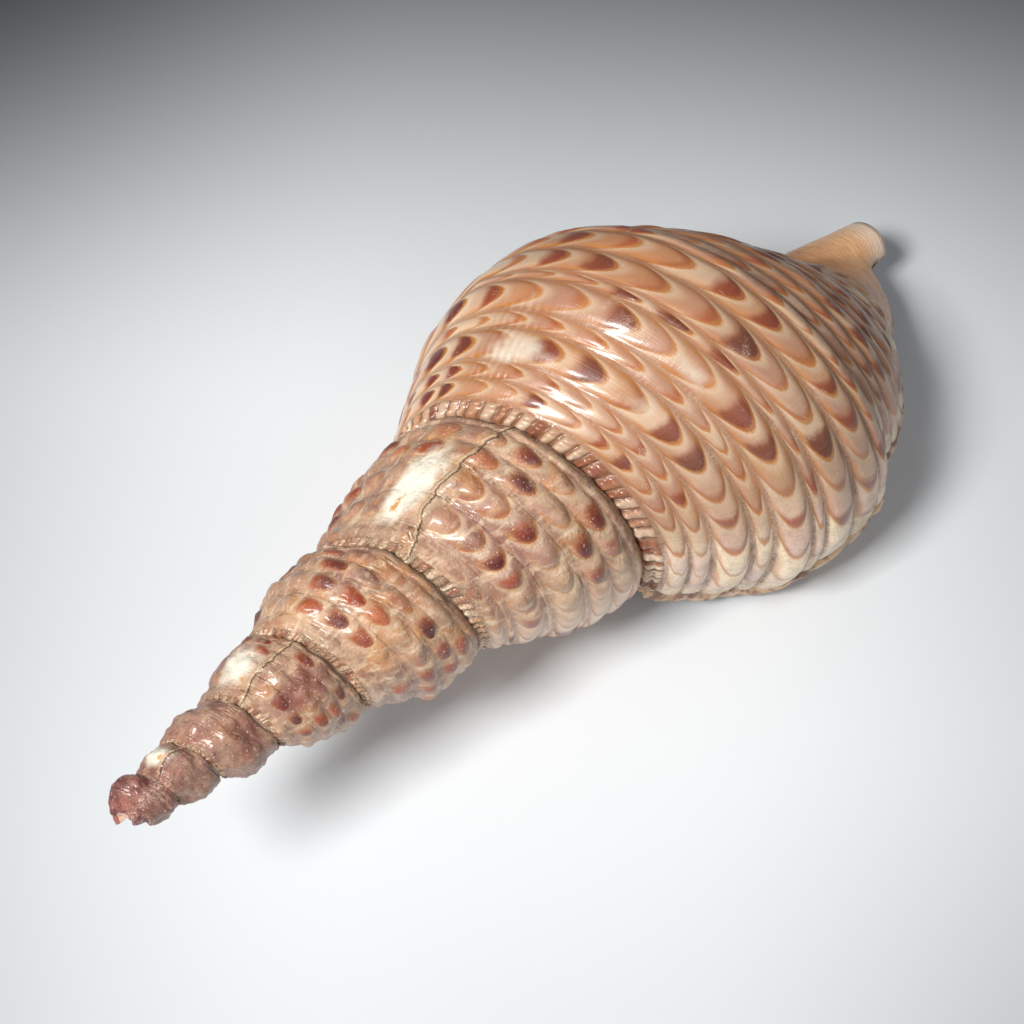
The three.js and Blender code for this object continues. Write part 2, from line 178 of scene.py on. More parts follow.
def outside_hr(t, place, rise):
    """Height and radius of the surface, raised square to the smooth outside."""
    step = 0.004
    h, r = plain_point(t, place)
    h0, r0 = plain_point(t, np.maximum(place - step, 0))
    h1, r1 = plain_point(t, np.minimum(place + step, 2))
    nh, nr = r0 - r1, h1 - h0
    length = np.hypot(nh, nr) + 1e-9
    return h + nh / length * rise, r + nr / length * rise


# The kinds of surface, as the materials know them. A cord is wide with large scales, a thread is narrow
# with small scales, and a line has none.
KINDS = ("gap", "band", "thread", "cord", "line", "inside", "apex", "tip")
KIND = {name: number for number, name in enumerate(KINDS)}

# Strips from the suture down: name, from place, to place, rows, height in mm, kind, width on the spire.
STRIPS = [
    ("band", 0.0, 0.091, 10, 0.7, "band", 1),
    ("n1", 0.104, 0.17, 4, 0.7, "thread", 0.9),
    ("n2", 0.18, 0.242, 4, 0.65, "thread", 0.35),
    ("p1", 0.254, 0.362, 10, 1.5, "cord", 1.32),
    ("n3", 0.375, 0.433, 4, 0.65, "thread", 0.3),
    ("p2", 0.445, 0.567, 10, 1.6, "cord", 1.27),
    ("n4", 0.576, 0.612, 3, 0.5, "thread", 0.3),
    ("p3", 0.621, 0.733, 10, 1.6, "cord", 1.08),
    ("p4", 0.744, 0.856, 10, 1.5, "cord", 1.08),
    ("n5", 0.868, 0.93, 4, 0.7, "thread", 0.8),
    ("n6", 0.94, 0.992, 3, 0.6, "thread", 0.9),
]
BASE_STRIPS = [
    ("b1", 1.0, 1.065, 5, 1.2, "cord", 1),
    ("b2", 1.075, 1.13, 4, 0.8, "thread", 1),
    ("b3", 1.14, 1.22, 5, 1.1, "cord", 1),
    ("b4", 1.23, 1.285, 3, 0.8, "thread", 1),
    ("b5", 1.295, 1.385, 5, 1.0, "cord", 1),
    ("b6", 1.395, 1.45, 3, 0.7, "thread", 1),
    ("b7", 1.46, 1.53, 4, 0.7, "thread", 1),
    ("b8", 1.54, 1.6, 3, 0.5, "thread", 1),
    ("canal", 1.61, 2.0, 14, 0.0, "line", 1),
]

# Leading edges of the scales, given one by one. In between they are regular. Each has three numbers: turns
# back from the lip in thousandths, and how dark and how purple its scale is in hundredths.
MARKS = {
    "n1": "1223 70 30, 1180 65 20, 475 75 10, 445 85 40, 400 10 0, 365 10 0, 330 80 60, 290 10 0, "
          "255 50 20, 223 80 30, 192 25 0, 166 25 0, 140 10 0",
    "n2": "1215 70 30, 477 70 0, 444 70 20, 410 10 0, 370 10 0, 330 40 30, 295 10 0, 260 20 0, "
          "230 45 20, 200 20 0",
    "p1": "2345 50 10, 2285 85 20, 1290 30 0, 1250 20 0, 1213 85 40, 1178 50 30, 481 80 20, 443 80 30, "
          "402 12 0, 347 70 0, 305 85 60, 264 10 0, 225 75 10, 193 90 40, 161 15 0, 131 50 20, 97 30 0, "
          "66 10 0, 38 15 0",
    "n3": "480 40 0, 440 30 0, 400 25 0, 364 35 0, 323 35 0, 290 20 0, 250 40 0, 220 20 0, 198 15 0, "
          "170 10 0",
    "p2": "2295 60 10, 2243 45 0, 2190 20 0, 2140 35 0, 1300 10 0, 1265 35 20, 1222 75 10, 1180 25 0, "
          "1140 15 50, 479 80 20, 437 60 20, 400 10 0, 359 30 0, 315 80 30, 285 12 40, 249 15 0, "
          "207 75 10, 178 85 50, 146 20 0, 115 50 0, 80 5 0, 45 5 0",
    "p3": "2365 80 20, 2300 10 0, 2235 35 0, 2175 90 70, 1440 40 0, 1385 60 10, 1315 40 0, 1265 85 80, "
          "1215 15 0, 1167 80 30, 1125 60 100, 1090 10 40, 443 25 0, 402 65 0, 362 75 0, 321 10 0, "
          "280 40 20, 245 95 60, 219 20 20, 190 20 0, 158 95 50, 131 25 0, 97 50 100, 60 20 50",
    "p4": "2400 50 20, 2100 50 50, 1330 30 30, 1285 70 90, 1240 10 0, 1185 75 20, 1145 40 80, "
          "1115 20 40, 445 40 0, 405 75 10, 365 40 0, 323 5 0, 283 65 0, 251 70 0, 219 15 0, 193 60 20, "
          "163 65 20, 139 20 0, 107 50 100, 78 50 60",
    "n5": "304 30 0, 262 35 0, 234 20 0, 206 35 0, 183 50 20, 157 35 30, 120 60 80",
    "b1": "298 35 0, 264 35 0, 230 20 0, 190 30 0, 150 25 0, 102 60 30",
    "b2": "390 40 10, 335 20 0, 290 50 10, 257 20 0, 225 45 20, 195 35 20, 165 70 60, 140 60 80",
}
SCALES_PER_TURN = (16, 13, 1.3)
LIP_STEP_DROP = 1.5
FLANGE_FLARE = 1.3
THIN_LAYER_FLARE = 3.8
CORD_GAIN = 1.15
CORD_GAIN_AT_LIP = 1.1
# How far a scale swells and how high its lump stands on the spire, in mm; and how far back its ends bend.
SWELL = {"cord": 0.45, "thread": 0.35, "line": 0}
KNOB = {"cord": 2.5, "thread": 0.8, "line": 0}
BEND = {"band": 0.25, "cord": 0.78, "thread": 0.6, "line": 0.2}
COLUMNS_PAST_STEP = 12


def pitch(t):
    a, b, c = SCALES_PER_TURN
    return 1 / (a + b * np.exp(t / c))


def pleat_pitch(t):
    """The beads of the band crowd together beside the lip."""
    return 1 / (60 + 40 * smooth(-0.16, -0.04, t))


def lip_step(place):
    """Turn where the outer layer ends in a scalloped step before the thin true lip."""
    lobes = sum(gauss(place - at, 0.04) for at in (0.135, 0.307, 0.505, 0.676, 0.8, 1.03, 1.18))
    return -0.013 - 0.047 * smooth(0.42, 0.7, place) - 0.024 * smooth(0.75, 1.05, place) + 0.003 * lobes


def lip_reach(t, place):
    """The thin layer of the lip reaches a little further beside the suture."""
    return 0.013 * smooth(0.02, 0.12, place) * smooth(0.62, 0.4, place) * smooth(-0.012, 0, t)


def old_lip(place):
    """Turn offset of the crack that each old lip left, from its varix."""
    return 0.022 - 0.033 * smooth(0, 0.42, place)


def wobble(x, seed):
    """A smooth, repeatable wave without a period."""
    k = np.array([1.0, 1.73, 2.91, 4.37])
    p = np.array([0.3, 1.9, 4.1, 5.3]) * (seed + 1)
    return sum(np.sin(x * a + b) / (1 + 0.5 * i) for i, (a, b) in enumerate(zip(k, p))) / 2


def boundaries(name, start):
    """The scales' leading edges along a strip, and how dark and purple the scale behind each is."""
    marks = [[int(x) for x in mark.split()] for mark in MARKS.get(name, "").split(", ") if mark]
    marks = [(-back / 1000, shade / 100, tint / 100) for back, shade, tint in marks if -back / 1000 > start]
    local = np.random.default_rng(sum(ord(c) for c in name))
    scales = [(start, 0.2, 0.0)]
    t = start

    def auto(t):
        d = local.random()
        spread = 0.5 + 0.5 * np.sin(9 * t + 2.0) * np.sin(23 * t)
        often = 0.2 + 0.3 * spread + (0.3 if name[0] == "b" else 0)
        value = 0.45 + 0.5 * local.random() if d < often else 0.05 + 0.3 * local.random()
        if name[0] == "b" and value > 0.4:
            value = 0.3 + 0.75 * value
        return value, local.random() ** (0.5 if name[0] == "b" else 2)

    while marks and t < -0.02:
        mark = marks.pop(0)
        gap = mark[0] - t
        n = max(1, round(gap / pitch(t)))
        for k in range(1, n):
            turn = t + gap * (k + 0.16 * (local.random() - 0.5)) / n
            scales.append((turn, *auto(turn)))
        scales.append(mark)
        t = mark[0]
    while t < 0.08:
        t += pitch(t) * (1 + 0.22 * (local.random() - 0.5))
        dark, purple = auto(t)
        scales.append((t, dark * (0.5 if t > -0.09 else 1), purple))
    return np.array(scales).T


class Skin:
    """Collects vertices, and triangles with values at their corners."""

    def __init__(self):
        self.t, self.place, self.rise = [], [], []
        self.faces, self.mark, self.tone, self.kind = [], [], [], []
        self.given = []
        self.same = {}

    def vertices(self, t, place, rise):
        first = len(self.t)
        self.t.extend(t)
        self.place.extend(np.broadcast_to(place, np.shape(t)))
        self.rise.extend(rise)
        return np.arange(first, first + len(t))

    def fixed(self, points, t=0.0, place=0.0):
        """Vertices given by their points in the part's frame, in millimetres."""
        ids = self.vertices(np.full(len(points), t), place, np.zeros(len(points)))
        self.given.extend(zip(ids.tolist(), points))
        return ids

    def add(self, tri, kind, mark=(0, 0, 0), tone=(0, 0, 0)):
        shape = (len(tri), 3, 3)
        self.faces.append(np.asarray(tri))
        self.mark.append(np.broadcast_to(np.asarray(mark, float), shape))
        self.tone.append(np.broadcast_to(np.asarray(tone, float), shape))
        self.kind.append(np.full(len(tri), KIND[kind], float))

    def add_quads(self, quads, corners, tone, kind):
        """Two triangles for each quad that has an area. Each corner has its three values."""
        corners = [np.stack(np.broadcast_arrays(*values), -1) for values in corners]
        for pick in ((0, 1, 2), (0, 2, 3)):
            tri = quads[:, pick]
            good = not_flat(tri)
            mark = np.stack([corners[p] for p in pick], 1)
            self.add(tri[good], kind, mark[good], tone[good][:, None])


def not_flat(tri):
    """Which triangles have three different vertices."""
    return (tri[:, 0] != tri[:, 1]) & (tri[:, 1] != tri[:, 2]) & (tri[:, 2] != tri[:, 0])


def zip_rows(low_at, low_id, high_at, high_id):
    """A strip of triangles between two sorted rows."""
    i = j = 0
    out = []
    while i < len(low_id) - 1 or j < len(high_id) - 1:
        a = low_at[i + 1] if i < len(low_id) - 1 else np.inf
        b = high_at[j + 1] if j < len(high_id) - 1 else np.inf
        if a <= b:
            out.append((low_id[i], low_id[i + 1], high_id[j]))
            i += 1
        else:
            out.append((low_id[i], high_id[j + 1], high_id[j]))
            j += 1
    return np.array(out, int).reshape(-1, 3)


def rubbed(t, place):
    """Where the shell beside the crack on the second whorl is rubbed smooth."""
    return 1 - 0.95 * np.minimum(1, 1.5 * gauss(t + 1.39, 0.042) * gauss(place - 0.42, 0.3))


def cord_height(t, place, height):
    """The cords are faint on the back of the last whorl, and fade at the apex and beside the mouth."""
    bare = np.where(place > 1, smooth(-1, -0.8, t), 1)
    size = radius(t) / LIP_RADIUS * (1 - 0.55 * smooth(-1.02, -1.2, t)) * (1 - 0.9 * smooth(-2.4, -4.0, t))
    faint = 1 - 0.45 * smooth(-1.05, -0.85, t) * smooth(-0.12, -0.32, t)
    lip = 1 + CORD_GAIN_AT_LIP * smooth(-0.13, -0.06, t)
    at_step = 1 - 0.8 * smooth(-0.032, -0.01, t - lip_step(place))
    return CORD_GAIN * height * rubbed(t, place) * size * bare * faint * lip * at_step


def relief(t, place, u, w, height, kind, wide):
    """Height of the surface over the smooth outside, from the place in the strip, u, and in the scale, w."""
    size = radius(t) / LIP_RADIUS
    if kind == "band":
        pleat = np.abs(np.sin(np.pi * w)) ** 0.9
        upper = np.clip(1 - ((u + 0.4) / 0.58) ** 2, 0, 1) ** 0.7
        lower = 0.62 * np.clip(1 - ((u - 0.6) / 0.38) ** 2, 0, 1) ** 0.7
        bead = (1 + 0.3 * wobble(t * 330, 9)) * (height + 3.0 * (pleat - 0.55))
        return size * (0.2 * (1 - u * u) + np.maximum(upper, lower) * bead)
    spire = smooth(-1.0, -1.2, t)
    crown = lerp(1 - np.abs(u) ** 3.2, (1 - u * u) ** 1.4, spire)
    lump = np.sin(np.pi * np.clip(w, 0, 1) ** 1.4) ** 0.8 * (1 - u * u)
    dome = np.clip(1 - ((w - 0.54) / 0.54) ** 2 - u * u, 0, 1) ** 0.9
    swell = SWELL[kind]
    if kind != "line":
        swell = swell + 0.35 * smooth(-0.2, -0.06, t) * (1 - smooth(-0.04, -0.015, t - lip_step(place)))
    knob = KNOB[kind] * smooth(-1.02, -1.15, t) * (1 - 0.3 * smooth(-1.6, -2.1, t))
    knob = knob * (1 - 0.5 * smooth(-2.6, -4.0, t))
    low = 1 - spire if wide < 0.5 else 1
    lumps_on_it = swell * lump * low + knob * low * dome * rubbed(t, place)
    return cord_height(t, place, height) * low * crown + size * lumps_on_it


def old_marks(t, place):
    """Cracks of old lips, the stepped outer lip, and the pinched sutures."""
    rise = np.zeros_like(t)
    size = radius(t) / LIP_RADIUS
    for at, strength in ((-4 / 3, 1.0), (-10 / 3, 1.2), (-16 / 3, 0.8), (-8 / 3, 0.4), (-14 / 3, 0.5)):
        rise += strength * size * 1.2 * gauss(t - at - old_lip(place), 0.007)
    x = t - lip_step(place)
    across = smooth(0.02, 0.1, place) * (1 - smooth(1.45, 1.6, place)) * (t > -0.14)
    rise += across * FLANGE_FLARE * smooth(-0.03, -0.002, x) * (1 - smooth(0, 0.0016, x))
    rise -= across * (LIP_STEP_DROP * smooth(0, 0.0016, x) + 1.6 * smooth(0, 0.001, x) * gauss(x, 0.004))
    rise += across * THIN_LAYER_FLARE * (smooth(0.0015, 0.011, x) - 0.7 * smooth(0.014, 0.035, x))
    # The early whorls' sutures are pinched more.
    pinch = 0.8 + 0.9 * smooth(-1.2, -3, t)
    rise -= pinch * size * (gauss(place, 0.014) + 0.8 * smooth(0.95, 1.0, place) * (t < -1.0))
    return rise


def place_columns(edges, count):
    """Column lines: turn at the crest, share within the scale, and scale number."""
    turn, share, cell = [], [], []
    for i in range(1, len(edges)):
        a, b = edges[i - 1], edges[i]
        m = count(b)
        for k in range(m):
            turn.append(a + (b - a) * k / m)
            share.append(k / m)
            cell.append(i)
    turn.append(edges[-1])
    share.append(0.0)
    cell.append(len(edges))
    return np.array(turn), np.array(share), np.array(cell)


def per_scale(t, narrow, low):
    """Columns in a scale: most beside the lip's step and the second crack, fewer up the spire."""
    if t > (-0.075 if low < 0.7 else -0.1) or abs(t + 1.315) < 0.045:
        return 18
    if t > -1:
        return 7 if narrow else 9
    if t > -2:
        return 5 if narrow else 7
    return 3 if t < -3.4 else (4 if narrow else 5)


def meet_step(t, turn, step, lead):
    """Bends the columns of a row so that the leading one lies on the lip's step, and the rest past it."""
    moved = t + (step - t[lead]) * smooth(-0.06, 0, turn - turn[lead])
    past = np.arange(1, len(t) - lead)
    moved[lead:] = step
    moved[lead + 1:] = step * (1 - (past / len(past)) ** 1.6)
    return moved


def build_strip(skin, strip, start):
    """One cord, thread, line or band. Returns its rows, each as (turns, vertex numbers)."""
    name, low, high, rows, height, kind, wide = strip
    if kind == "band":
        edges = []
        t = start
        while t < -0.5 * pleat_pitch(0):
            edges.append(t)
            t += pleat_pitch(t)
        edges = np.array(edges + [0.0])
        edges += 0.0055 * wobble(edges * 260, 1) * (edges > start) * (edges < -0.06)
        dark = 0.5 + 0.5 * np.random.default_rng(5).random(len(edges))
        purple = np.random.default_rng(6).random(len(edges))
        count = lambda b: 9 if b > -1.6 else (6 if b > -3.2 else 4)
    else:
        edges, dark, purple = boundaries(name, start)
        count = lambda b: per_scale(b, kind == "thread", low)
    turn, share, cell = place_columns(edges, count)
    middle = (low + high) / 2
    if kind != "band":
        lead = np.abs(turn - lip_step(middle)).argmin()
        turn, share, cell = (x[:lead + 1 + COLUMNS_PAST_STEP] for x in (turn, share, cell))
    length = pleat_pitch(turn) if kind == "band" else pitch(turn)
    depth = BEND[kind] * length * lerp(1, 0.5, smooth(-1.0, -1.2, turn))
    grid, rows_out = [], []
    us = np.linspace(-1, 1, rows + 1)
    if rows >= 5:
        us = np.sign(us) * np.abs(us) ** 0.85
    for u in us:
        bent = turn + 0.3 * depth * (u + 1) if kind == "band" else turn - depth * abs(u) ** 2.2
        t = np.clip(bent, start, 0)
        t[0] = start
        if kind != "band":
            t = meet_step(t, turn, lip_step(middle + (high - low) / 2 * u), lead)
        half = (high - low) / 2 * lerp(1, wide, smooth(-0.95, -1.15, t))
        at = middle + half * u
        rise = relief(t, at, np.full_like(t, u), share, height, kind, wide) + old_marks(t, at)
        ids = skin.vertices(t, at, rise)
        same = np.r_[False, np.abs(np.diff(t)) < 1e-7]
        for k in np.nonzero(same)[0]:
            ids[k] = ids[k - 1]
        grid.append(ids)
        keep = ~same
        rows_out.append((t[keep], ids[keep]))
    random = np.random.default_rng(len(name) + int(low * 1000)).random(len(edges) + 1)
    for j in range(len(us) - 1):
        a, b = grid[j], grid[j + 1]
        i = np.arange(len(a) - 1)
        quads = np.stack([a[i], a[i + 1], b[i + 1], b[i]], 1)
        w0, w1 = share[i], np.where(share[i + 1] == 0, 1, share[i + 1])
        c = np.minimum(cell[i], len(dark) - 1)
        r = random[cell[i]]
        ua, ub = us[j], us[j + 1]
        corners = [(ua, w0, r), (ua, w1, r), (ub, w1, r), (ub, w0, r)]
        skin.add_quads(quads, corners, np.stack([dark[c], purple[c], 0 * r], -1), kind)
    return rows_out


def join_rows(skin, low, high):
    """Fills the gap between two rows. The mark is -1 at the low one and 1 at the high one."""
    tri = zip_rows(low[0], low[1], high[0], high[1])
    mark = np.zeros((len(tri), 3, 3))
    mark[:, :, 0] = np.where(np.isin(tri, low[1]), -1.0, 1.0)
    mark[:, :, 2] = 0.5
    skin.add(tri, "gap", mark, (0.2, 0, 0))


def part_of(row, lo, hi):
    keep = (row[0] > lo - 1e-7) & (row[0] < hi + 1e-7)
    return row[0][keep], row[1][keep]


def last_before(row, t):
    """The row from its last vertex at or before a turn."""
    keep = row[0] >= row[0][row[0] <= t + 1e-7].max() - 1e-9
    return row[0][keep], row[1][keep]


skin = Skin()
side = [build_strip(skin, strip, FIRST_TURN) for strip in STRIPS]
for above, below in zip(side[:-1], side[1:]):
    join_rows(skin, above[-1], below[0])
base = [build_strip(skin, strip, -1.0) for strip in BASE_STRIPS]
for above, below in zip(base[:-1], base[1:]):
    join_rows(skin, above[-1], below[0])

# Below each whorl's side comes the next whorl's suture, and below the last one the base and canal.
suture = side[0][0]
last_side = side[-1][-1]
below_last = last_before(last_side, -1)
above_last = part_of(last_side, FIRST_TURN, below_last[0][0])
next_whorl = part_of(suture, FIRST_TURN + 1, 0)
join_rows(skin, above_last, (next_whorl[0] - 1, next_whorl[1]))
skin.same[base[0][0][1][0]] = suture[1][-1]
base_edge = (base[0][0][0], np.r_[suture[1][-1], base[0][0][1][1:]])
join_rows(skin, below_last, base_edge)
side_rows = [row for strip in side for row in strip]
base_rows = [row for strip in base for row in strip]


def close_rim(skin, ids, points, centre, rings, kind, t, place, bump=lambda share, n: 0):
    """Closes a rim of vertices towards a centre point, in rings."""
    last, n = np.asarray(ids), len(ids)
    for k in range(1, rings + 1):
        share = k / rings
        new = skin.fixed(lerp(points, centre, share) + bump(share, n), t, place) if k < rings else \
            np.repeat(skin.fixed([centre], t, place), n)
        a, b, c, d = last, new, np.roll(new, -1), np.roll(last, -1)
        for tri in (np.stack([a, b, d], 1), np.stack([d, b, c], 1)):
            skin.add(tri[not_flat(tri)], kind, tone=(0.5, share, 0))
        last = new


LUMP_GAIN = 1.5
# Length of a wave in mm, and its height on the last whorl, on the spire and, added, on the early whorls.
LUMPS = ((14.0, 0.4, 0.7, 0.2), (6.5, 0.1, 0.7, 0.4), (3.2, 0.03, 0.35, 0.1))


def lumps(t, place):
    """Uneven growth: soft waves on the last whorl, and knobbly lumps on the spire."""
    height, r = plain_point(t, place)
    points = wind(t, height, r)
    out = np.zeros(len(t))
    for length, on_body, on_spire, early in LUMPS:
        wave = np.array([noise.noise(Vector(p / length)) for p in points])
        out += wave * (lerp(on_body, on_spire, smooth(-1.0, -1.9, t)) + early * smooth(-2.6, -4.0, t))
    return out * (0.25 + 0.75 * smooth(0, 0.05, place))


def position(t, place, rise):
    t, place, rise = (np.asarray(x, float) for x in (t, place, rise))
    height, r = outside_hr(t, place, rise)
    return wind(t + lip_reach(t, place), height, r)


# The broken apex, whose hollow lies off the axis, and the end of the canal.
APEX_RINGS = 10
APEX_HOLLOW = np.array([3.4, -1.5, -1.5])
TIP_RINGS = 3
first_whorl = part_of(suture, FIRST_TURN, FIRST_TURN + 1)[1]
first_column = np.array([row[1][0] for row in side_rows])
apex_rim = np.r_[first_whorl, first_column[::-1][:-1]]
all_t, all_place, all_rise = (np.array(x, float) for x in (skin.t, skin.place, skin.rise))
apex_rise = all_rise[apex_rim] + LUMP_GAIN * lumps(all_t[apex_rim], all_place[apex_rim])
apex_points = position(all_t[apex_rim], all_place[apex_rim], apex_rise)
apex_centre = wind(np.array(FIRST_TURN), suture_height(FIRST_TURN) - APEX_CROWN, 0.0) + APEX_HOLLOW


def broken(share, n):
    """The worn tip: lumpy shoulders round a shallow hollow."""
    k = np.arange(n) / n
    uneven = 0.4 * np.sin(TAU * k * 3 + 1) + 0.3 * np.sin(TAU * k * 7 + 4) + 0.15 * np.sin(TAU * k * 13)
    shoulder = np.sin(np.pi * min(share / 0.75, 1))
    return np.stack([(0.7 * uneven - 2.2) * shoulder, 0 * k, 0 * k], 1)


close_rim(skin, apex_rim, apex_points, apex_centre, APEX_RINGS, "apex", FIRST_TURN, 0.0, broken)
tip_rim = base_rows[-1][1]
tip_t = all_t[tip_rim]
tip_points = position(tip_t, all_place[tip_rim], all_rise[tip_rim])
tip_centre = wind(np.array(0.0), CANAL_TIP + TIP_CROWN, 0.0)
close_rim(skin, tip_rim[::-1], tip_points[::-1], tip_centre, TIP_RINGS, "tip", -0.5, 2.0)

# The tube inside: at each turn what lies between the whorl's own side and the whorl above.
WALL = 3.4
PARIETAL_WALL = 1.2
LIP_WALL = 4.5
LIP_BEVEL = 1.6
TUBE_CENTRE = 0.8
TUBE_CENTRE_RADIUS = 0.6
TUBE_FRONT = 1.62
TUBE_POINTS = 168
SIDE_STEPS = 24
FRONT_STEPS = 16
INNER_STEPS = 32
MOUTH_LENGTH = 0.12
TUBE_TURNS = [0, -0.003, -0.007, -0.012, -0.018, -0.025, -0.032, -0.04, -0.05, -0.06, -0.07, -0.085, -0.1]
TUBE_TURNS += [-0.125 - 0.025 * k for k in range(20)] + [-0.66 - 0.04 * k for k in range(20)]
TUBE_TURNS += [-1.5 - 0.08 * k for k in range(23)]
TEETH = [0.3, 0.345, 0.49, 0.53, 0.655, 0.7, 0.78, 0.825, 0.89, 0.93, 1.02, 1.06, 1.15, 1.19, 1.31, 1.35]
TOOTH_HEIGHT = 1.5
FOLD_HEIGHT = 0.7


def tube_outline(t):
    """Lines of height and radius that the tube lies between: the whorl's own side, and the whorl above."""
    low, high = suture_height(t), suture_height(t + 1)
    side_h, side_r = plain_point(np.full(SIDE_STEPS + 1, float(t)), np.linspace(0, 1, SIDE_STEPS + 1))
    front_h = lerp(low, high, 1 + (TUBE_FRONT - 1) * np.arange(1, FRONT_STEPS + 1) / FRONT_STEPS)
    outer_h = np.r_[side_h, front_h]
    outer_r = np.r_[side_r, base_radius(np.full(FRONT_STEPS, float(t)), front_h)]
    inner_h = lerp(low, high, TUBE_FRONT * np.arange(INNER_STEPS + 1) / INNER_STEPS)
    thick = PILLAR_RADIUS * plain_radius(t) / LIP_RADIUS
    slim = lerp(thick, pillar(np.full_like(inner_h, -1), inner_h), smooth(-MOUTH_LENGTH, 0, t))
    inner_r = soft_max(base_radius(np.full_like(inner_h, t - 1), inner_h), slim)
    return np.stack([outer_h, outer_r], 1), np.stack([inner_h, inner_r], 1)


def distances(points, line):
    """Distance of each point to a line of points, and how far along the line it is, 0 to 1."""
    a, d = line[:-1], np.diff(line, axis=0)
    away = points[:, None] - a
    u = np.clip((away * d).sum(-1) / ((d * d).sum(-1) + 1e-9), 0, 1)
    gap = np.linalg.norm(away - u[..., None] * d, axis=-1)
    k = gap.argmin(1)
    pick = np.arange(len(points)), k
    return gap[pick], (k + u[pick]) / len(d)


def tube_centre(t):
    height = lerp(suture_height(t), suture_height(t + 1), TUBE_CENTRE)
    return np.array([height, TUBE_CENTRE_RADIUS * radius(t)])


def tube_loop(t, angles):
    """One loop of the tube's wall, and how far along the outer lip and the pillar each point is."""
    outer, inner = tube_outline(t)
    centre = tube_centre(t)
    size = plain_radius(t) / LIP_RADIUS
    wall = (WALL + (LIP_WALL - WALL) * smooth(-0.05, 0, t) - LIP_BEVEL * smooth(-0.012, 0, t)) * size
    front = np.stack([outer[-1], inner[-1]])
    step = 0.75 * size + 0.1
    reaches = np.arange(0, 200 * size + 20, step)
    way = np.stack([np.cos(angles), np.sin(angles)], 1)
    grid = centre + reaches[None, :, None] * way[:, None]
    flat = grid.reshape(-1, 2)
    room = np.minimum(distances(flat, outer)[0] - wall, distances(flat, inner)[0] - PARIETAL_WALL * size)
    room = np.minimum(room, distances(flat, front)[0] - wall).reshape(len(angles), -1)
    hit = (room < 0).argmax(1)
    pick = np.arange(len(angles))
    before, after = room[pick, hit - 1], room[pick, hit]
    reach = reaches[hit] - step * (-after) / (before - after)
    points = centre + reach[:, None] * way
    gap_outer, along_outer = distances(points, outer)
    gap_inner, along_inner = distances(points, inner)
    is_outer = gap_outer - wall < gap_inner - PARIETAL_WALL * size + 0.5
    along = np.where(is_outer, along_outer, along_inner)
    return points, way, is_outer, along, size


mouth = tube_centre(0.0)
lip_ids = np.array([row[1][-1] for row in side_rows + base_rows])[::-1]
inner_ids = np.array([row[1][0] for row in base_rows[1:]])
inner_ids = inner_ids[inner_ids != base[0][0][1][0]]
rim_ids = np.r_[lip_ids, inner_ids]
rim_h, rim_r = outside_hr(*(x[rim_ids] for x in (all_t, all_place, all_rise)))
rim_at = np.unwrap(np.arctan2(rim_r - mouth[1], rim_h - mouth[0]))
rim_at = np.maximum.accumulate(rim_at + 1e-6 * np.arange(len(rim_at)))
angles = rim_at[0] + TAU * np.arange(TUBE_POINTS) / TUBE_POINTS
loops, loop_marks = [], []
for t in TUBE_TURNS:
    points, way, is_outer, along, size = tube_loop(t, angles)
    place = np.where(is_outer, along * (SIDE_STEPS + FRONT_STEPS) / SIDE_STEPS, -1 - along)
    tooth = sum(gauss(place - at, 0.013) for at in TEETH) * smooth(-0.075, -0.035, t) * smooth(0.0, -0.006, t)
    fold = smooth(0.2, 0.6, np.sin(along * 118 + 1.2 * np.sin(along * 23))) * smooth(-0.3, -0.1, t)
    fold_height = FOLD_HEIGHT * fold * smooth(0.3, 0.45, along) * smooth(0, -0.006, t)
    lift = np.where(is_outer, TOOTH_HEIGHT * tooth, fold_height) * size
    points = points - way * lift[:, None]
    xyz = wind(t + lip_reach(t, place) * is_outer, points[:, 0], points[:, 1])
    ids = skin.fixed(xyz, t, place)
    loops.append(np.r_[ids, ids[0]])
    loop_marks.append((tooth, fold))
closed = np.r_[angles, angles[0] + TAU]
face = zip_rows(np.r_[rim_at, rim_at[0] + TAU], np.r_[rim_ids, rim_ids[0]], closed, loops[0])
skin.add(face, "inside")
for k in range(len(loops) - 1):
    a, b = loops[k], loops[k + 1]
    (tooth, fold), (tooth2, fold2) = loop_marks[k:k + 2]
    quads = np.stack([a[:-1], a[1:], b[1:], b[:-1]], 1)
    corners = [(tooth, fold, 0), (np.roll(tooth, -1), np.roll(fold, -1), 0),
               (np.roll(tooth2, -1), np.roll(fold2, -1), 0), (tooth2, fold2, 0)]
    skin.add_quads(quads, corners, np.zeros((TUBE_POINTS, 3)), "inside")
end_t = TUBE_TURNS[-1] - 0.01
end = tube_centre(TUBE_TURNS[-1])
end_id = skin.fixed([wind(np.array(end_t), end[0], end[1])], end_t, 0.5)[0]
cap = np.stack([loops[-1][:-1], loops[-1][1:], np.full(TUBE_POINTS, end_id)], 1)
skin.add(cap, "inside")

# Worn patches: turn, place, how far each reaches in turns and in place, and how strong it is.
WORN = [(-1.385, 0.42, 0.032, 0.26, 1.1), (-3.42, 0.45, 0.07, 0.3, 0.8), (-5.42, 0.5, 0.1, 0.3, 0.9),
        (-0.268, 0.31, 0.018, 0.035, 0.55), (-0.395, 0.29, 0.036, 0.06, 0.72),
        (-0.268, 0.5, 0.02, 0.045, 0.6), (-0.05, 0.45, 0.025, 0.15, 0.35)]


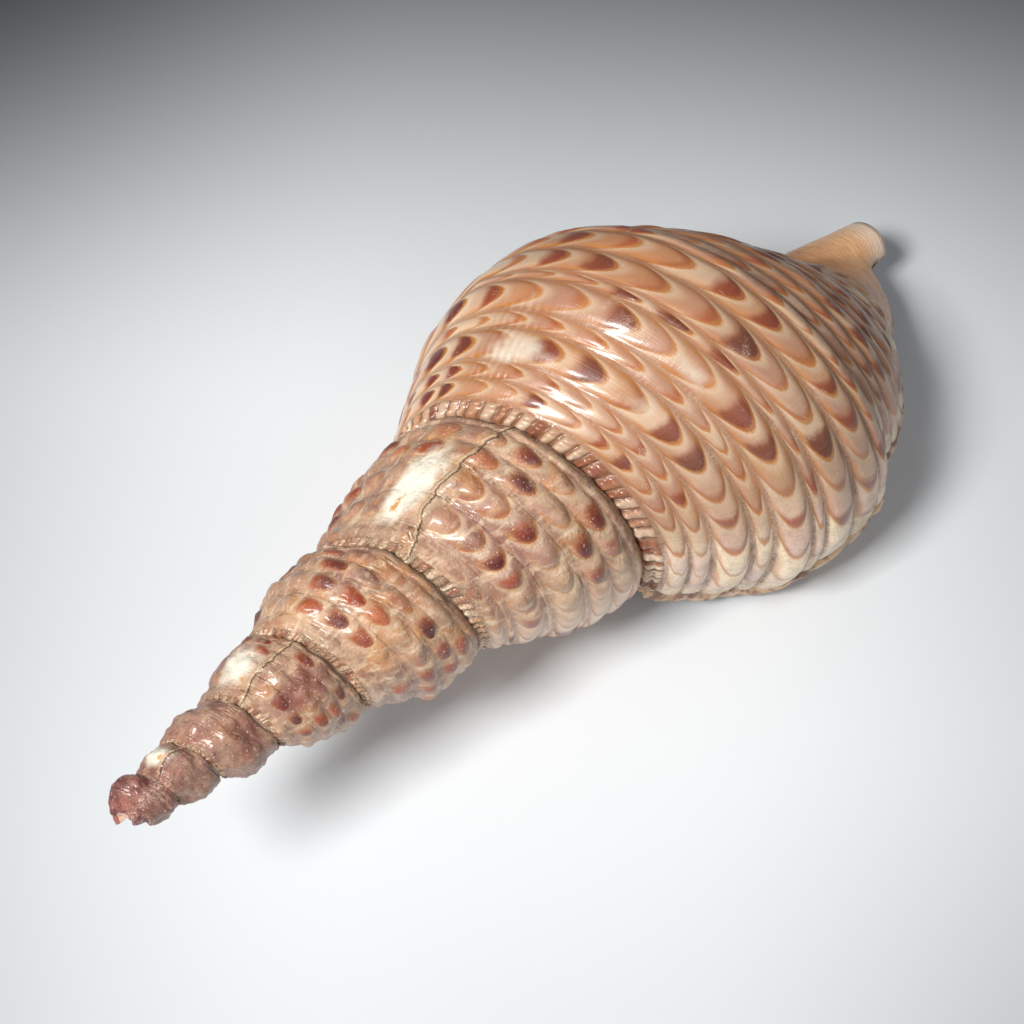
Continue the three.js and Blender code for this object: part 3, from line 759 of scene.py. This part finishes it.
def coverings(t, place, kind):
    """What lies over the colours: cracks, worn patches and dirt; and the lip's layer and the glaze."""
    outer = kind != KIND["inside"]
    crack = sum(gauss(t - at - old_lip(place), width) for at, width in ((-4 / 3, 0.007), (-10 / 3, 0.012)))
    worn = sum(much * gauss(t - at, length) * gauss(place - across, width)
               for at, across, length, width, much in WORN)
    dirt = 0.25 + 0.75 * smooth(-0.3, -0.05, t) + 0.3 * smooth(-1.0, -1.3, t) + 0.2 * smooth(-1.7, -3, t)
    dirt += 0.5 * (1 - smooth(0.0, 0.06, place)) + 0.45 * smooth(0.93, 1.0, place) * (t < -1)
    dirt += 0.5 * smooth(1.3, 1.6, place) * smooth(-0.5, -0.2, t)
    beyond = smooth(0, 0.001, t - lip_step(place)) * (t > -0.1)
    callus = smooth(-0.84, -0.9, t + 0.02 * wobble(place * 14, 2)) * (place > 0.985) * (place <= 2)
    cover = np.stack([crack, worn, np.clip(dirt, 0, 1.4)], -1) * outer[..., None]
    return cover, np.stack([beyond, callus, 0 * t], -1) * outer[..., None]


def build_mesh(skin, name):
    """Makes the mesh, in metres, with its values stored for the materials."""
    t, place, rise = (np.array(x, float) for x in (skin.t, skin.place, skin.rise))
    given = np.array([i for i, _ in skin.given])
    own = np.ones(len(t), bool)
    own[given] = False
    xyz = np.zeros((len(t), 3))
    xyz[own] = position(t[own], place[own], rise[own] + LUMP_GAIN * lumps(t[own], place[own]))
    xyz[given] = np.array([p for _, p in skin.given])
    faces = np.vstack(skin.faces)
    mark, tone, kind = np.vstack(skin.mark), np.vstack(skin.tone), np.concatenate(skin.kind)
    site_t, site_place = t[faces], place[faces]
    alias = np.arange(len(t))
    for old, new in skin.same.items():
        alias[old] = new
    faces = alias[faces]
    good = not_flat(faces)
    faces, mark, tone, kind = faces[good], mark[good], tone[good], kind[good]
    site_t, site_place = site_t[good], site_place[good]
    used, inverse = np.unique(faces, return_inverse=True)
    faces = inverse.reshape(-1, 3)
    xyz = xyz[used] / 1000
    xyz[:, 2] = np.maximum(xyz[:, 2], 0)
    mesh = bpy.data.meshes.new(name)
    mesh.vertices.add(len(xyz))
    mesh.vertices.foreach_set("co", xyz.astype(np.float32).ravel())
    mesh.loops.add(3 * len(faces))
    mesh.loops.foreach_set("vertex_index", faces.astype(np.int32).ravel())
    mesh.polygons.add(len(faces))
    mesh.polygons.foreach_set("loop_start", np.arange(0, 3 * len(faces), 3, dtype=np.int32))
    mesh.polygons.foreach_set("use_smooth", np.ones(len(faces), bool))
    mesh.update(calc_edges=True)
    kinds = np.repeat(kind[:, None], 3, 1)
    cover, glaze = coverings(site_t, site_place, kinds)
    values_of = {"mark": mark, "tone": tone, "site": np.stack([site_t, site_place, kinds], -1),
                 "cover": cover, "glaze": glaze}
    mesh.polygons.foreach_set("material_index", (kind == KIND["inside"]).astype(np.int32))
    for key, values in values_of.items():
        layer = mesh.attributes.new(key, "FLOAT_VECTOR", "CORNER")
        layer.data.foreach_set("vector", values.astype(np.float32).ravel())
    thing = bpy.data.objects.new(name, mesh)
    bpy.context.scene.collection.objects.link(thing)
    return thing


shell = build_mesh(skin, "shell_surface")
print("triangles", len(shell.data.polygons))


def srgb(code):
    """A colour for the nodes, from its six-digit code."""
    parts = [int(code[k:k + 2], 16) for k in (0, 2, 4)]
    return tuple(c / 255 / 12.92 if c <= 10 else ((c / 255 + 0.055) / 1.055) ** 2.4 for c in parts) + (1,)


def operation(name, turned=False):
    def method(self, other=0.0):
        return self.tree.math(name, *((other, self) if turned else (self, other)))
    return method


class Value:
    """What a node gives out. Ordinary arithmetic with it makes more nodes."""

    def __init__(self, tree, socket):
        self.tree = tree
        self.socket = socket

    __add__, __radd__ = operation("ADD"), operation("ADD", True)
    __sub__, __rsub__ = operation("SUBTRACT"), operation("SUBTRACT", True)
    __mul__, __rmul__ = operation("MULTIPLY"), operation("MULTIPLY", True)
    __pow__, __abs__ = operation("POWER"), operation("ABSOLUTE")
    __gt__, __lt__ = operation("GREATER_THAN"), operation("LESS_THAN")


class Tree:
    """Short names for shader nodes. A colour is a six-digit code."""

    def __init__(self, name):
        self.material = bpy.data.materials.new(name)
        self.material.use_nodes = True
        self.nodes = self.material.node_tree.nodes
        self.here = self.node("ShaderNodeTexCoord", {}, "Object")

    def fill(self, node, inputs):
        for key, value in inputs.items():
            if isinstance(value, Value):
                self.material.node_tree.links.new(value.socket, node.inputs[key])
            else:
                node.inputs[key].default_value = srgb(value) if isinstance(value, str) else value

    def node(self, kind, inputs, output=0, **settings):
        """Makes, sets and fills a node, and gives one of its outputs."""
        node = self.nodes.new(kind)
        for key, value in settings.items():
            setattr(node, key, value)
        self.fill(node, inputs)
        return Value(self, node.outputs[output])

    def surface(self, inputs):
        """Fills the inputs of the surface, and gives the material."""
        self.fill(self.nodes["Principled BSDF"], inputs)
        return self.material

    def math(self, operation, a, b=0.0):
        return self.node("ShaderNodeMath", {0: a, 1: b}, operation=operation)

    def most(self, a, b):
        return self.math("MAXIMUM", a, b)

    def least(self, a, b):
        return self.math("MINIMUM", a, b)

    def fract(self, x):
        return self.math("FRACT", x)

    def sine(self, x):
        return self.math("SINE", x)

    def smooth(self, lo, hi, x):
        """A soft step from 0 at lo to 1 at hi."""
        falls = not isinstance(lo, Value) and lo > hi
        ends = (hi, lo, 1.0, 0.0) if falls else (lo, hi, 0.0, 1.0)
        inputs = dict(zip(("From Min", "From Max", "To Min", "To Max"), ends), Value=x)
        return self.node("ShaderNodeMapRange", inputs, "Result", interpolation_type="SMOOTHSTEP")

    def mix(self, share, a, b):
        return self.node("ShaderNodeMix", {0: share, 6: a, 7: b}, 2, data_type="RGBA", clamp_factor=True)

    def layers(self, base, rows):
        """Lays colours over a base one after another, each with its share."""
        for share, colour in rows:
            base = self.mix(share, base, colour)
        return base

    def ramp(self, x, *stops):
        node = self.nodes.new("ShaderNodeValToRGB")
        elements = node.color_ramp.elements
        while len(elements) < len(stops):
            elements.new(0.5)
        for element, (at, colour) in zip(elements, stops):
            element.position = at
            element.color = srgb(colour)
        self.fill(node, {0: x})
        return Value(self, node.outputs[0])

    def split(self, vector):
        node = self.nodes.new("ShaderNodeSeparateXYZ")
        self.fill(node, {0: vector})
        return [Value(self, socket) for socket in node.outputs]

    def values(self, name):
        """The three values that the mesh stores under a name."""
        return self.split(self.node("ShaderNodeAttribute", {}, "Vector", attribute_name=name))

    def vector(self, x, y, z=0.0):
        return self.node("ShaderNodeCombineXYZ", {0: x, 1: y, 2: z})

    def noise(self, scale, vector=None, detail=3.0):
        inputs = {"Scale": scale, "Detail": detail, "Roughness": 0.55, "Vector": vector or self.here}
        return self.node("ShaderNodeTexNoise", inputs)

    def grown(self, along, across, seed=0.0, detail=3.0):
        """Noise that follows the growth, from a scaled turn and a scaled place."""
        return self.noise(1.0, self.vector(along, across, seed), detail)

    def bump(self, strength, distance, height):
        return self.node("ShaderNodeBump", {"Strength": strength, "Distance": distance, "Height": height})


def outside_material():
    """Cream and tan, with the scales' marks, the band, the canal, worn patches and dirt laid over it."""
    n = Tree("shell_outside")
    u, w, chance = n.values("mark")
    dark, purple, _ = n.values("tone")
    turn, place, kind = n.values("site")
    ridge, worn, dirt = n.values("cover")
    beyond, callus, _ = n.values("glaze")
    side = abs(u)
    fine = n.noise(900.0, detail=4.0)
    medium = n.noise(160.0, detail=4.0)
    broad = n.noise(38.0, detail=3.0)
    grain = n.noise(2600.0, detail=2.0)
    streak = n.grown(turn * 420.0, place * 9.0)

    # Where an older lip healed there is a thin dark crack across the whorl.
    wander = (n.grown(place * 14.0, turn * 2.0) - 0.5) * 0.02
    healed = 0.022 - n.smooth(0.0, 0.42, place) * 0.033 + wander
    crack = lip_line = None
    for at, width in ((-4 / 3, 0.0016), (-10 / 3, 0.003), (-16 / 3, 0.005)):
        off = turn - at - healed
        line = n.smooth(width, width * 0.25, abs(off))
        beside = n.smooth(1.9 * width, width, abs(off + 2.6 * width))
        crack = n.most(crack, line) if crack else line
        lip_line = n.most(lip_line, beside) if lip_line else beside
    lip = n.smooth(-0.42, -0.12, turn)
    spire = n.smooth(-1.01, -1.16, turn)
    tip = n.smooth(-5.6, -6.5, turn)
    pale = n.smooth(0.5, 0.66, n.noise(52.0, n.vector(turn * 1.3, place * 0.12, 7.0))) * 0.7
    spire_colour = n.layers("ac866e", (
        (n.smooth(0.4, 0.6, medium), "cca686"),
        (n.smooth(0.46, 0.6, broad) * 0.7, "8a5c54"),
        (n.smooth(0.52, 0.66, n.noise(75.0)) * 0.6, "ce9258"),
        (pale, "e6caa8"),
        (n.smooth(-2.6, -4.2, turn) * 0.6, "8e5a50"),
    ))
    near_lip = n.smooth(-0.17, -0.07, turn) * n.smooth(1.3, 1.1, place)
    lip_pale = n.mix(n.smooth(0.3, 0.6, n.fract(chance * 5.7)), "fce6c4", "f4d2be")
    # Painted light: the left of the last whorl, towards the key lamp, is painted paler cream, and its warm
    # marks and smudges are made fainter.
    left = n.smooth(-0.4, -0.5, turn) * n.smooth(0.95, 0.7, place)
    cream = n.layers("d6986a", (
        (lip, "d8b288"),
        (n.smooth(0.75, 1.15, place) * n.smooth(-1.0, -0.9, turn) * 0.75, "a68262"),
        (n.smooth(0.46, 0.66, broad) * 0.6, "c68662"),
        (n.smooth(0.48, 0.7, medium) * 0.35, "debe9a"),
        (n.smooth(0.4, 0.2, chance) * 0.6, "c49c8a"),
        (n.smooth(0.65, 0.8, chance) * 0.8, "f0d4b4"),
        (near_lip * 0.9, lip_pale),
        (left * 0.75, "f2d0ae"),
        (spire, spire_colour),
    ))

    # Each scale darkens towards its rounded leading edge, which has a thin yellow rim. A dark one is a
    # broad spot whose back is straighter than its front.
    bow = side ** 2.2
    front = w + (medium - 0.5) * (0.3 + spire * 0.4)
    reach = 0.8 - dark * 0.66 + bow * 0.62
    blot = n.smooth(reach, reach + 0.26, front)
    body = n.ramp(dark, (0.0, "ce9264"), (0.2, "c8763a"), (0.42, "b0481c"), (0.65, "862414"),
                  (0.85, "621814"), (1.0, "481319"))
    mauve = n.ramp(dark, (0.0, "b48c84"), (0.4, "7c423e"), (1.0, "542226"))
    body = n.mix(purple * 0.85, body, mauve)
    back = n.mix(0.35, body, "c46c38")
    body = n.mix(n.smooth(reach, reach + 0.45, front), back, body)
    small = kind < KIND["thread"] + 0.5
    scaly = (kind > KIND["thread"] - 0.5) * (kind < KIND["cord"] + 0.5)
    scaly = scaly * (1.0 - small * n.smooth(-1.05, -1.3, turn) * 0.7)
    plain = n.smooth(-3.2, -4.2, turn)
    scaly = scaly * (1.0 - plain)
    soft = w + (medium - 0.5) * 0.2
    on_body = 1.0 - spire * (0.55 + n.smooth(-1.25, -1.6, turn) * 0.25)
    pink = n.smooth(0.3, 0.7, n.fract(chance * 13.7)) * scaly * on_body * 0.42
    tail = n.smooth(0.42, 0.0, w) * 0.8 * scaly * on_body
    strength = n.smooth(0.1, 0.9, n.fract(chance * 7.3))
    warm = n.smooth(0.35, 0.9, soft) * scaly * on_body * (0.25 + strength * 0.6)
    warm = warm * (1.0 - near_lip * 0.75) * (1.0 - left * 0.5) * (1.0 - n.smooth(0.65, 0.8, chance) * 0.6)
    crescent = n.smooth(0.66, 0.98, soft) * scaly * on_body * (0.2 + strength * 0.8)
    colour = n.layers(cream, (
        (pink, "ce9e88"),
        (tail, n.mix(n.smooth(1.0, 1.3, place), "f6dcb8", "c89a70")),
        (warm, "be7446"),
        (crescent, "9c4a22"),
        (near_lip * (1.0 - crescent) * 0.72, lip_pale),
    ))

    # On the spire each dark spot is a round stain on the front of its lump.
    apart = ((w - 0.68) * 2.3) ** 2.0 + (u * 1.2) ** 2.0
    apart = apart + (medium - 0.5) * 0.7
    apart = apart * (1.0 - n.smooth(-1.6, -2.0, turn) * 0.35)
    round_spot = n.smooth(1.05, 0.3, apart) * n.smooth(0.22, 0.5, dark)
    spot = n.mix(spire, blot, round_spot)
    body = n.mix(spire * n.smooth(0.1, 0.9, apart), body, "b26842")

    # The amber rims of the scales, and the pale edge of the lip's outer layer.
    amber_share = (0.45 + n.fract(chance * 3.1) * 0.5) * scaly * on_body
    ragged_w = w + (fine - 0.5) * 0.1
    front_rim = n.most(n.smooth(0.87, 0.96, ragged_w), n.smooth(0.085, 0.02, ragged_w))
    side_rim = n.smooth(0.6, 0.82, side) * n.smooth(1.0, 0.9, side) * n.smooth(0.3, 0.7, w) * 0.9
    to_step = turn + 0.013 + (n.smooth(0.42, 0.7, place) * 0.047 + n.smooth(0.75, 1.05, place) * 0.024)
    flange = n.smooth(-0.026, -0.01, to_step) * n.smooth(1.45, 1.25, place)
    colour = n.layers(colour, (
        (spot * scaly * n.least(0.5 + dark * 0.9, 1.0), body),
        (n.most(front_rim, side_rim) * amber_share, "d48e42"),
        (flange * 0.9, n.mix(n.smooth(0.4, 0.65, medium), "f0dabc", "eecc9c")),
    ))

    # The beaded band under the suture: pale beads, some of them dark, with tan furrows painted darker as
    # shade.
    band = n.math("COMPARE", kind, KIND["band"])
    bead = n.smooth(0.25, 0.8, n.sine(w * 3.14159))
    patch = n.grown(turn * 34.0, 3.0, detail=1.0)
    shade = chance * 0.85 + (patch - 0.38) * 1.1
    bead_top = n.ramp(shade, (0.05, "f4dec0"), (0.4, "e8c4a2"), (0.62, "d49c74"), (0.8, "984e36"),
                      (1.0, "64261e"))
    bead_top = n.layers(bead_top, (
        (n.smooth(0.1, 0.35, u) * 0.35, "b07856"),
        (n.smooth(-0.34, -0.16, turn) * n.smooth(0.7, 0.5, shade) * 0.75, "f8dec0"),
    ))
    # Painted shade: the furrows between the beads are darker brown.
    colour = n.mix(band, colour, n.mix(bead, "886248", bead_top))

    # Between the cords and at the cords' edges the shell is painted darker tan as shade, with sandy dirt.
    gap = kind < KIND["gap"] + 0.5
    valley_shade_and_sand = n.most(gap, n.smooth(0.82, 1.0, side)) * (1.0 - spire * 0.85)
    ragged = place + (n.noise(60.0) - 0.5) * 0.3
    crust = spire * n.most(n.smooth(0.17, 0.06, ragged), n.smooth(0.82, 0.95, ragged))
    low_place = n.most(valley_shade_and_sand, n.most(dirt * 0.34, crust))
    sand = low_place * n.most(dirt, crust) * n.smooth(0.4, 0.62, n.mix(0.5, fine, medium))
    gritty = n.mix(n.smooth(0.42, 0.6, n.noise(1900.0, detail=2.0)), "887056", "bea486")
    colour = n.layers(colour, (
        # Painted shade in the valleys between the cords and at their edges.
        (valley_shade_and_sand * 0.5, "a47252"),
        (n.least(sand * 1.1, 0.85), gritty),
        (n.smooth(0.55, 0.7, streak) * 0.22, "b48262"),
    ))

    # The canal: peach-tan, with fine lines, a browner foot and a pale end.
    canal = n.smooth(1.5, 1.66, place)
    thread = n.grown(place * 150.0, turn * 4.0)
    canal_colour = n.layers("e8ac7a", (
        (n.smooth(0.38, 0.66, thread), "f4c696"),
        (n.smooth(0.42, 0.62, medium) * 0.4, "d49262"),
        (n.smooth(1.84, 1.64, place) * 0.6, "ba7c50"),
        (n.smooth(1.86, 1.99, place), "f2d4ba"),
    ))

    # Past the stepped edge the lip is thin tan shell with brown blotches. Over it come worn patches,
    # cracks, the apex, and the brown glaze with white folds beside the mouth.
    thin = n.mix(n.smooth(0.45, 0.6, medium), "d6ac7e", "7e4a2c")
    worn_mask = n.smooth(0.2, 0.8, worn + (medium - 0.5) * 0.7)
    stain = n.mix(n.smooth(0.6, 0.68, medium) * spire, "fff8e4", "dc9e58")
    rose = n.mix(n.smooth(0.42, 0.6, medium), "68302e", "9e6258")
    patch_at = abs(turn + 3.235) + (medium - 0.5) * 0.06
    maroon = n.smooth(0.055, 0.02, patch_at) * n.smooth(0.4, 0.2, abs(place - 0.55))
    hollow = n.smooth(0.6, 0.72, purple)
    dust = n.smooth(0.66, 0.72, n.noise(1250.0, detail=1.0))
    fold = n.smooth(0.2, 0.6, n.sine(place * 88.0 + medium * 3.0))
    scratch = n.grown(turn * 60.0, place * 260.0, 4.0, 2.0)
    scuffs = n.smooth(0.66, 0.72, scratch) * n.smooth(0.5, 0.6, n.noise(300.0)) * (1.0 - spire)
    grit = n.smooth(0.6, 0.66, n.noise(70.0, detail=2.0)) * n.smooth(0.5, 0.56, grain)
    scuffs = n.most(scuffs, grit * n.smooth(0.42, 0.6, medium))
    smudge = n.smooth(0.52, 0.68, n.noise(24.0)) * (1.0 - spire) * (1.0 - canal) * (1.0 - left)
    colour = n.layers(colour, (
        (canal, canal_colour),
        (beyond * 0.9, thin),
        (worn_mask * 0.93, stain),
        (n.smooth(0.2, 0.8, ridge) * n.smooth(0.35, 0.6, fine) * 0.8, "b09474"),
        (lip_line * 0.8, "ceac86"),
        (crack * 0.85, "543828"),
        (n.most(tip, plain * n.smooth(0.5, 0.62, broad) * 0.8) * 0.8, rose),
        (maroon * 0.7, "7c3c36"),
        (n.math("COMPARE", kind, KIND["apex"]), n.mix(hollow, rose, "d0ac96")),
        (dust * (0.12 + spire * 0.5), "e4ceba"),
        (callus, n.mix(fold, "542c1e", "e8d6be")),
        (scuffs * 0.6, "e8d4be"),
        (smudge * 0.18, "96685c"),
    ))
    # Painted shade: part of the last whorl, between about half and a tenth of a turn back from the lip, is
    # painted darker brown.
    painted_shade_zone = n.smooth(-0.5, -0.42, turn) * n.smooth(-0.08, -0.16, turn) * n.smooth(1.5, 1.3, place)
    colour = n.mix(painted_shade_zone * 0.75, colour, n.mix(0.5, colour, "966042"))
    colour = n.mix(n.smooth(0.7, 0.76, n.noise(1500.0, detail=1.0)) * 0.5, colour, "78543e")
    rough = 0.3 + n.smooth(0.4, 0.7, medium) * 0.12 + sand * 0.5 + spire * 0.08

    # Fine relief: growth lines, threads, grit, the wrinkles beside an old lip, and the cracks.
    lines = n.grown(turn * 900.0, place * 12.0, detail=2.0)
    threads = n.grown(turn * 10.0, place * 160.0, detail=2.0)
    height = lines * 0.35 + threads * (0.3 + canal) + medium * 0.5 + sand * grain * 1.5
    height = height + spire * n.smooth(0.45, 0.7, n.noise(420.0)) * 0.7
    wrinkle = n.sine(turn * 760.0 + broad * 5.0)
    where = n.smooth(0.035, 0.01, abs(turn + 0.41)) * n.smooth(0.1, 0.2, place) * n.smooth(0.55, 0.4, place)
    height = height + wrinkle * where * 0.35
    height = height - crack * 1.6 + lip_line * 1.2
    return n.surface({"Base Color": colour, "Roughness": rough, "Coat Weight": 0.35, "Coat Roughness": 0.12,
                      "Normal": n.bump(0.5, 0.0006, height)})


def inside_material():
    """Orange, paler inwards, with white teeth and folds on the brown lips and a pale edge."""
    n = Tree("shell_inside")
    tooth, fold, _ = n.values("mark")
    turn, place, _ = n.values("site")
    medium = n.noise(120.0, detail=4.0)
    outer = place > -0.5
    lip_brown = n.mix(n.smooth(0.15, 0.55, tooth), "542a18", "f0e2cc")
    pillar_brown = n.mix(n.smooth(0.25, 0.6, fold), "582c1c", "ecdac0")
    colour = n.layers("e28e54", (
        (n.smooth(0.35, 0.65, medium), "ecac76"),
        (n.smooth(-0.5, -1.6, turn), "eeceac"),
        (n.smooth(-0.085, -0.06, turn) * outer, lip_brown),
        (n.smooth(-0.3, -0.1, turn) * (1.0 - outer), pillar_brown),
        (n.smooth(-0.008, -0.002, turn), "e0c49e"),
    ))
    return n.surface({"Base Color": colour, "Roughness": 0.2, "Coat Weight": 0.4, "Coat Roughness": 0.08,
                      "Normal": n.bump(0.3, 0.0004, medium)})


shell.data.materials.append(outside_material())
shell.data.materials.append(inside_material())
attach(shell, "root")
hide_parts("shell")


def table_material():
    """White, with painted light: brightest in front of the shell, falling away to painted grey shade behind,
    and painted darker at the sides and the front edge.
    """
    n = Tree("table")
    x, y, _ = n.split(n.here)
    away = x * 0.722 + y * 0.692
    across = x * 0.692 - y * 0.721
    # Painted light and shade: the table is painted darker behind the shell, at its sides, in a corner and at
    # the front edge, as the lamps' falloff.
    grey = n.smooth(0.06, 0.34, away)
    painted_side_shade = n.most(n.smooth(-0.06, -0.32, across), n.smooth(0.04, 0.4, across))
    corner = grey * n.smooth(-0.02, -0.3, across)
    near = n.smooth(-0.05, -0.22, away)
    painted_front_shade = near * 0.17 + near * n.smooth(0.02, 0.2, across) * 0.16
    painted_light = (1.0 - grey * 0.9) * (1.0 - painted_side_shade * 0.56) * (1.0 - corner * 0.9) * (1.0 - painted_front_shade)
    # Far from the shell, outside the photo, the table is an even grey.
    painted_light = n.most(painted_light, n.smooth(0.38, 0.75, (x * x + y * y) ** 0.5) * 0.35)
    return n.surface({"Base Color": n.mix(painted_light, "1c2021", "e6eaed"), "Roughness": 0.6,
                      "Specular IOR Level": 0.2})


bpy.ops.mesh.primitive_plane_add(size=12, location=(0, 0, 0))
table = bpy.context.object
table.name = "table"
table.data.materials.append(table_material())


def area_light(name, place, aim, size, power, colour=(1, 1, 1)):
    data = bpy.data.lights.new(name, "AREA")
    data.shape = "SQUARE"
    data.size = size
    data.energy = power
    data.color = colour
    thing = bpy.data.objects.new(name, data)
    thing.location = place
    thing.rotation_euler = (Vector(aim) - Vector(place)).to_track_quat("-Z", "Y").to_euler()
    bpy.context.scene.collection.objects.link(thing)


area_light("key", (-0.86, 0.14, 1.33), (0, 0, 0.03), 0.4, 27, (1, 0.985, 0.965))
area_light("fill", (-0.2, -1.5, 1.4), (0, 0, 0.03), 1.4, 6, (0.96, 0.98, 1))
world = bpy.data.worlds.new("room")
world.use_nodes = True
world.node_tree.nodes["Background"].inputs[0].default_value = (0.9, 0.94, 1, 1)
world.node_tree.nodes["Background"].inputs[1].default_value = 0.2
bpy.context.scene.view_settings.view_transform = "Standard"
bpy.context.scene.world = world

# The photo's camera, fitted to the shell's outline.
camera_data = bpy.data.cameras.new("camera")
camera_data.lens = 72.03
camera_data.sensor_width = 36
camera = bpy.data.objects.new("camera", camera_data)
right = (0.69239, -0.72077, 0.03291)
up = (0.64052, 0.63502, 0.43184)
back = (-0.33215, -0.27793, 0.90135)
spot = (-0.244366, -0.185404, 0.685471)
camera.matrix_world = Matrix([[right[k], up[k], back[k], spot[k]] for k in range(3)] + [[0, 0, 0, 1]])
bpy.context.scene.collection.objects.link(camera)
bpy.context.scene.camera = camera
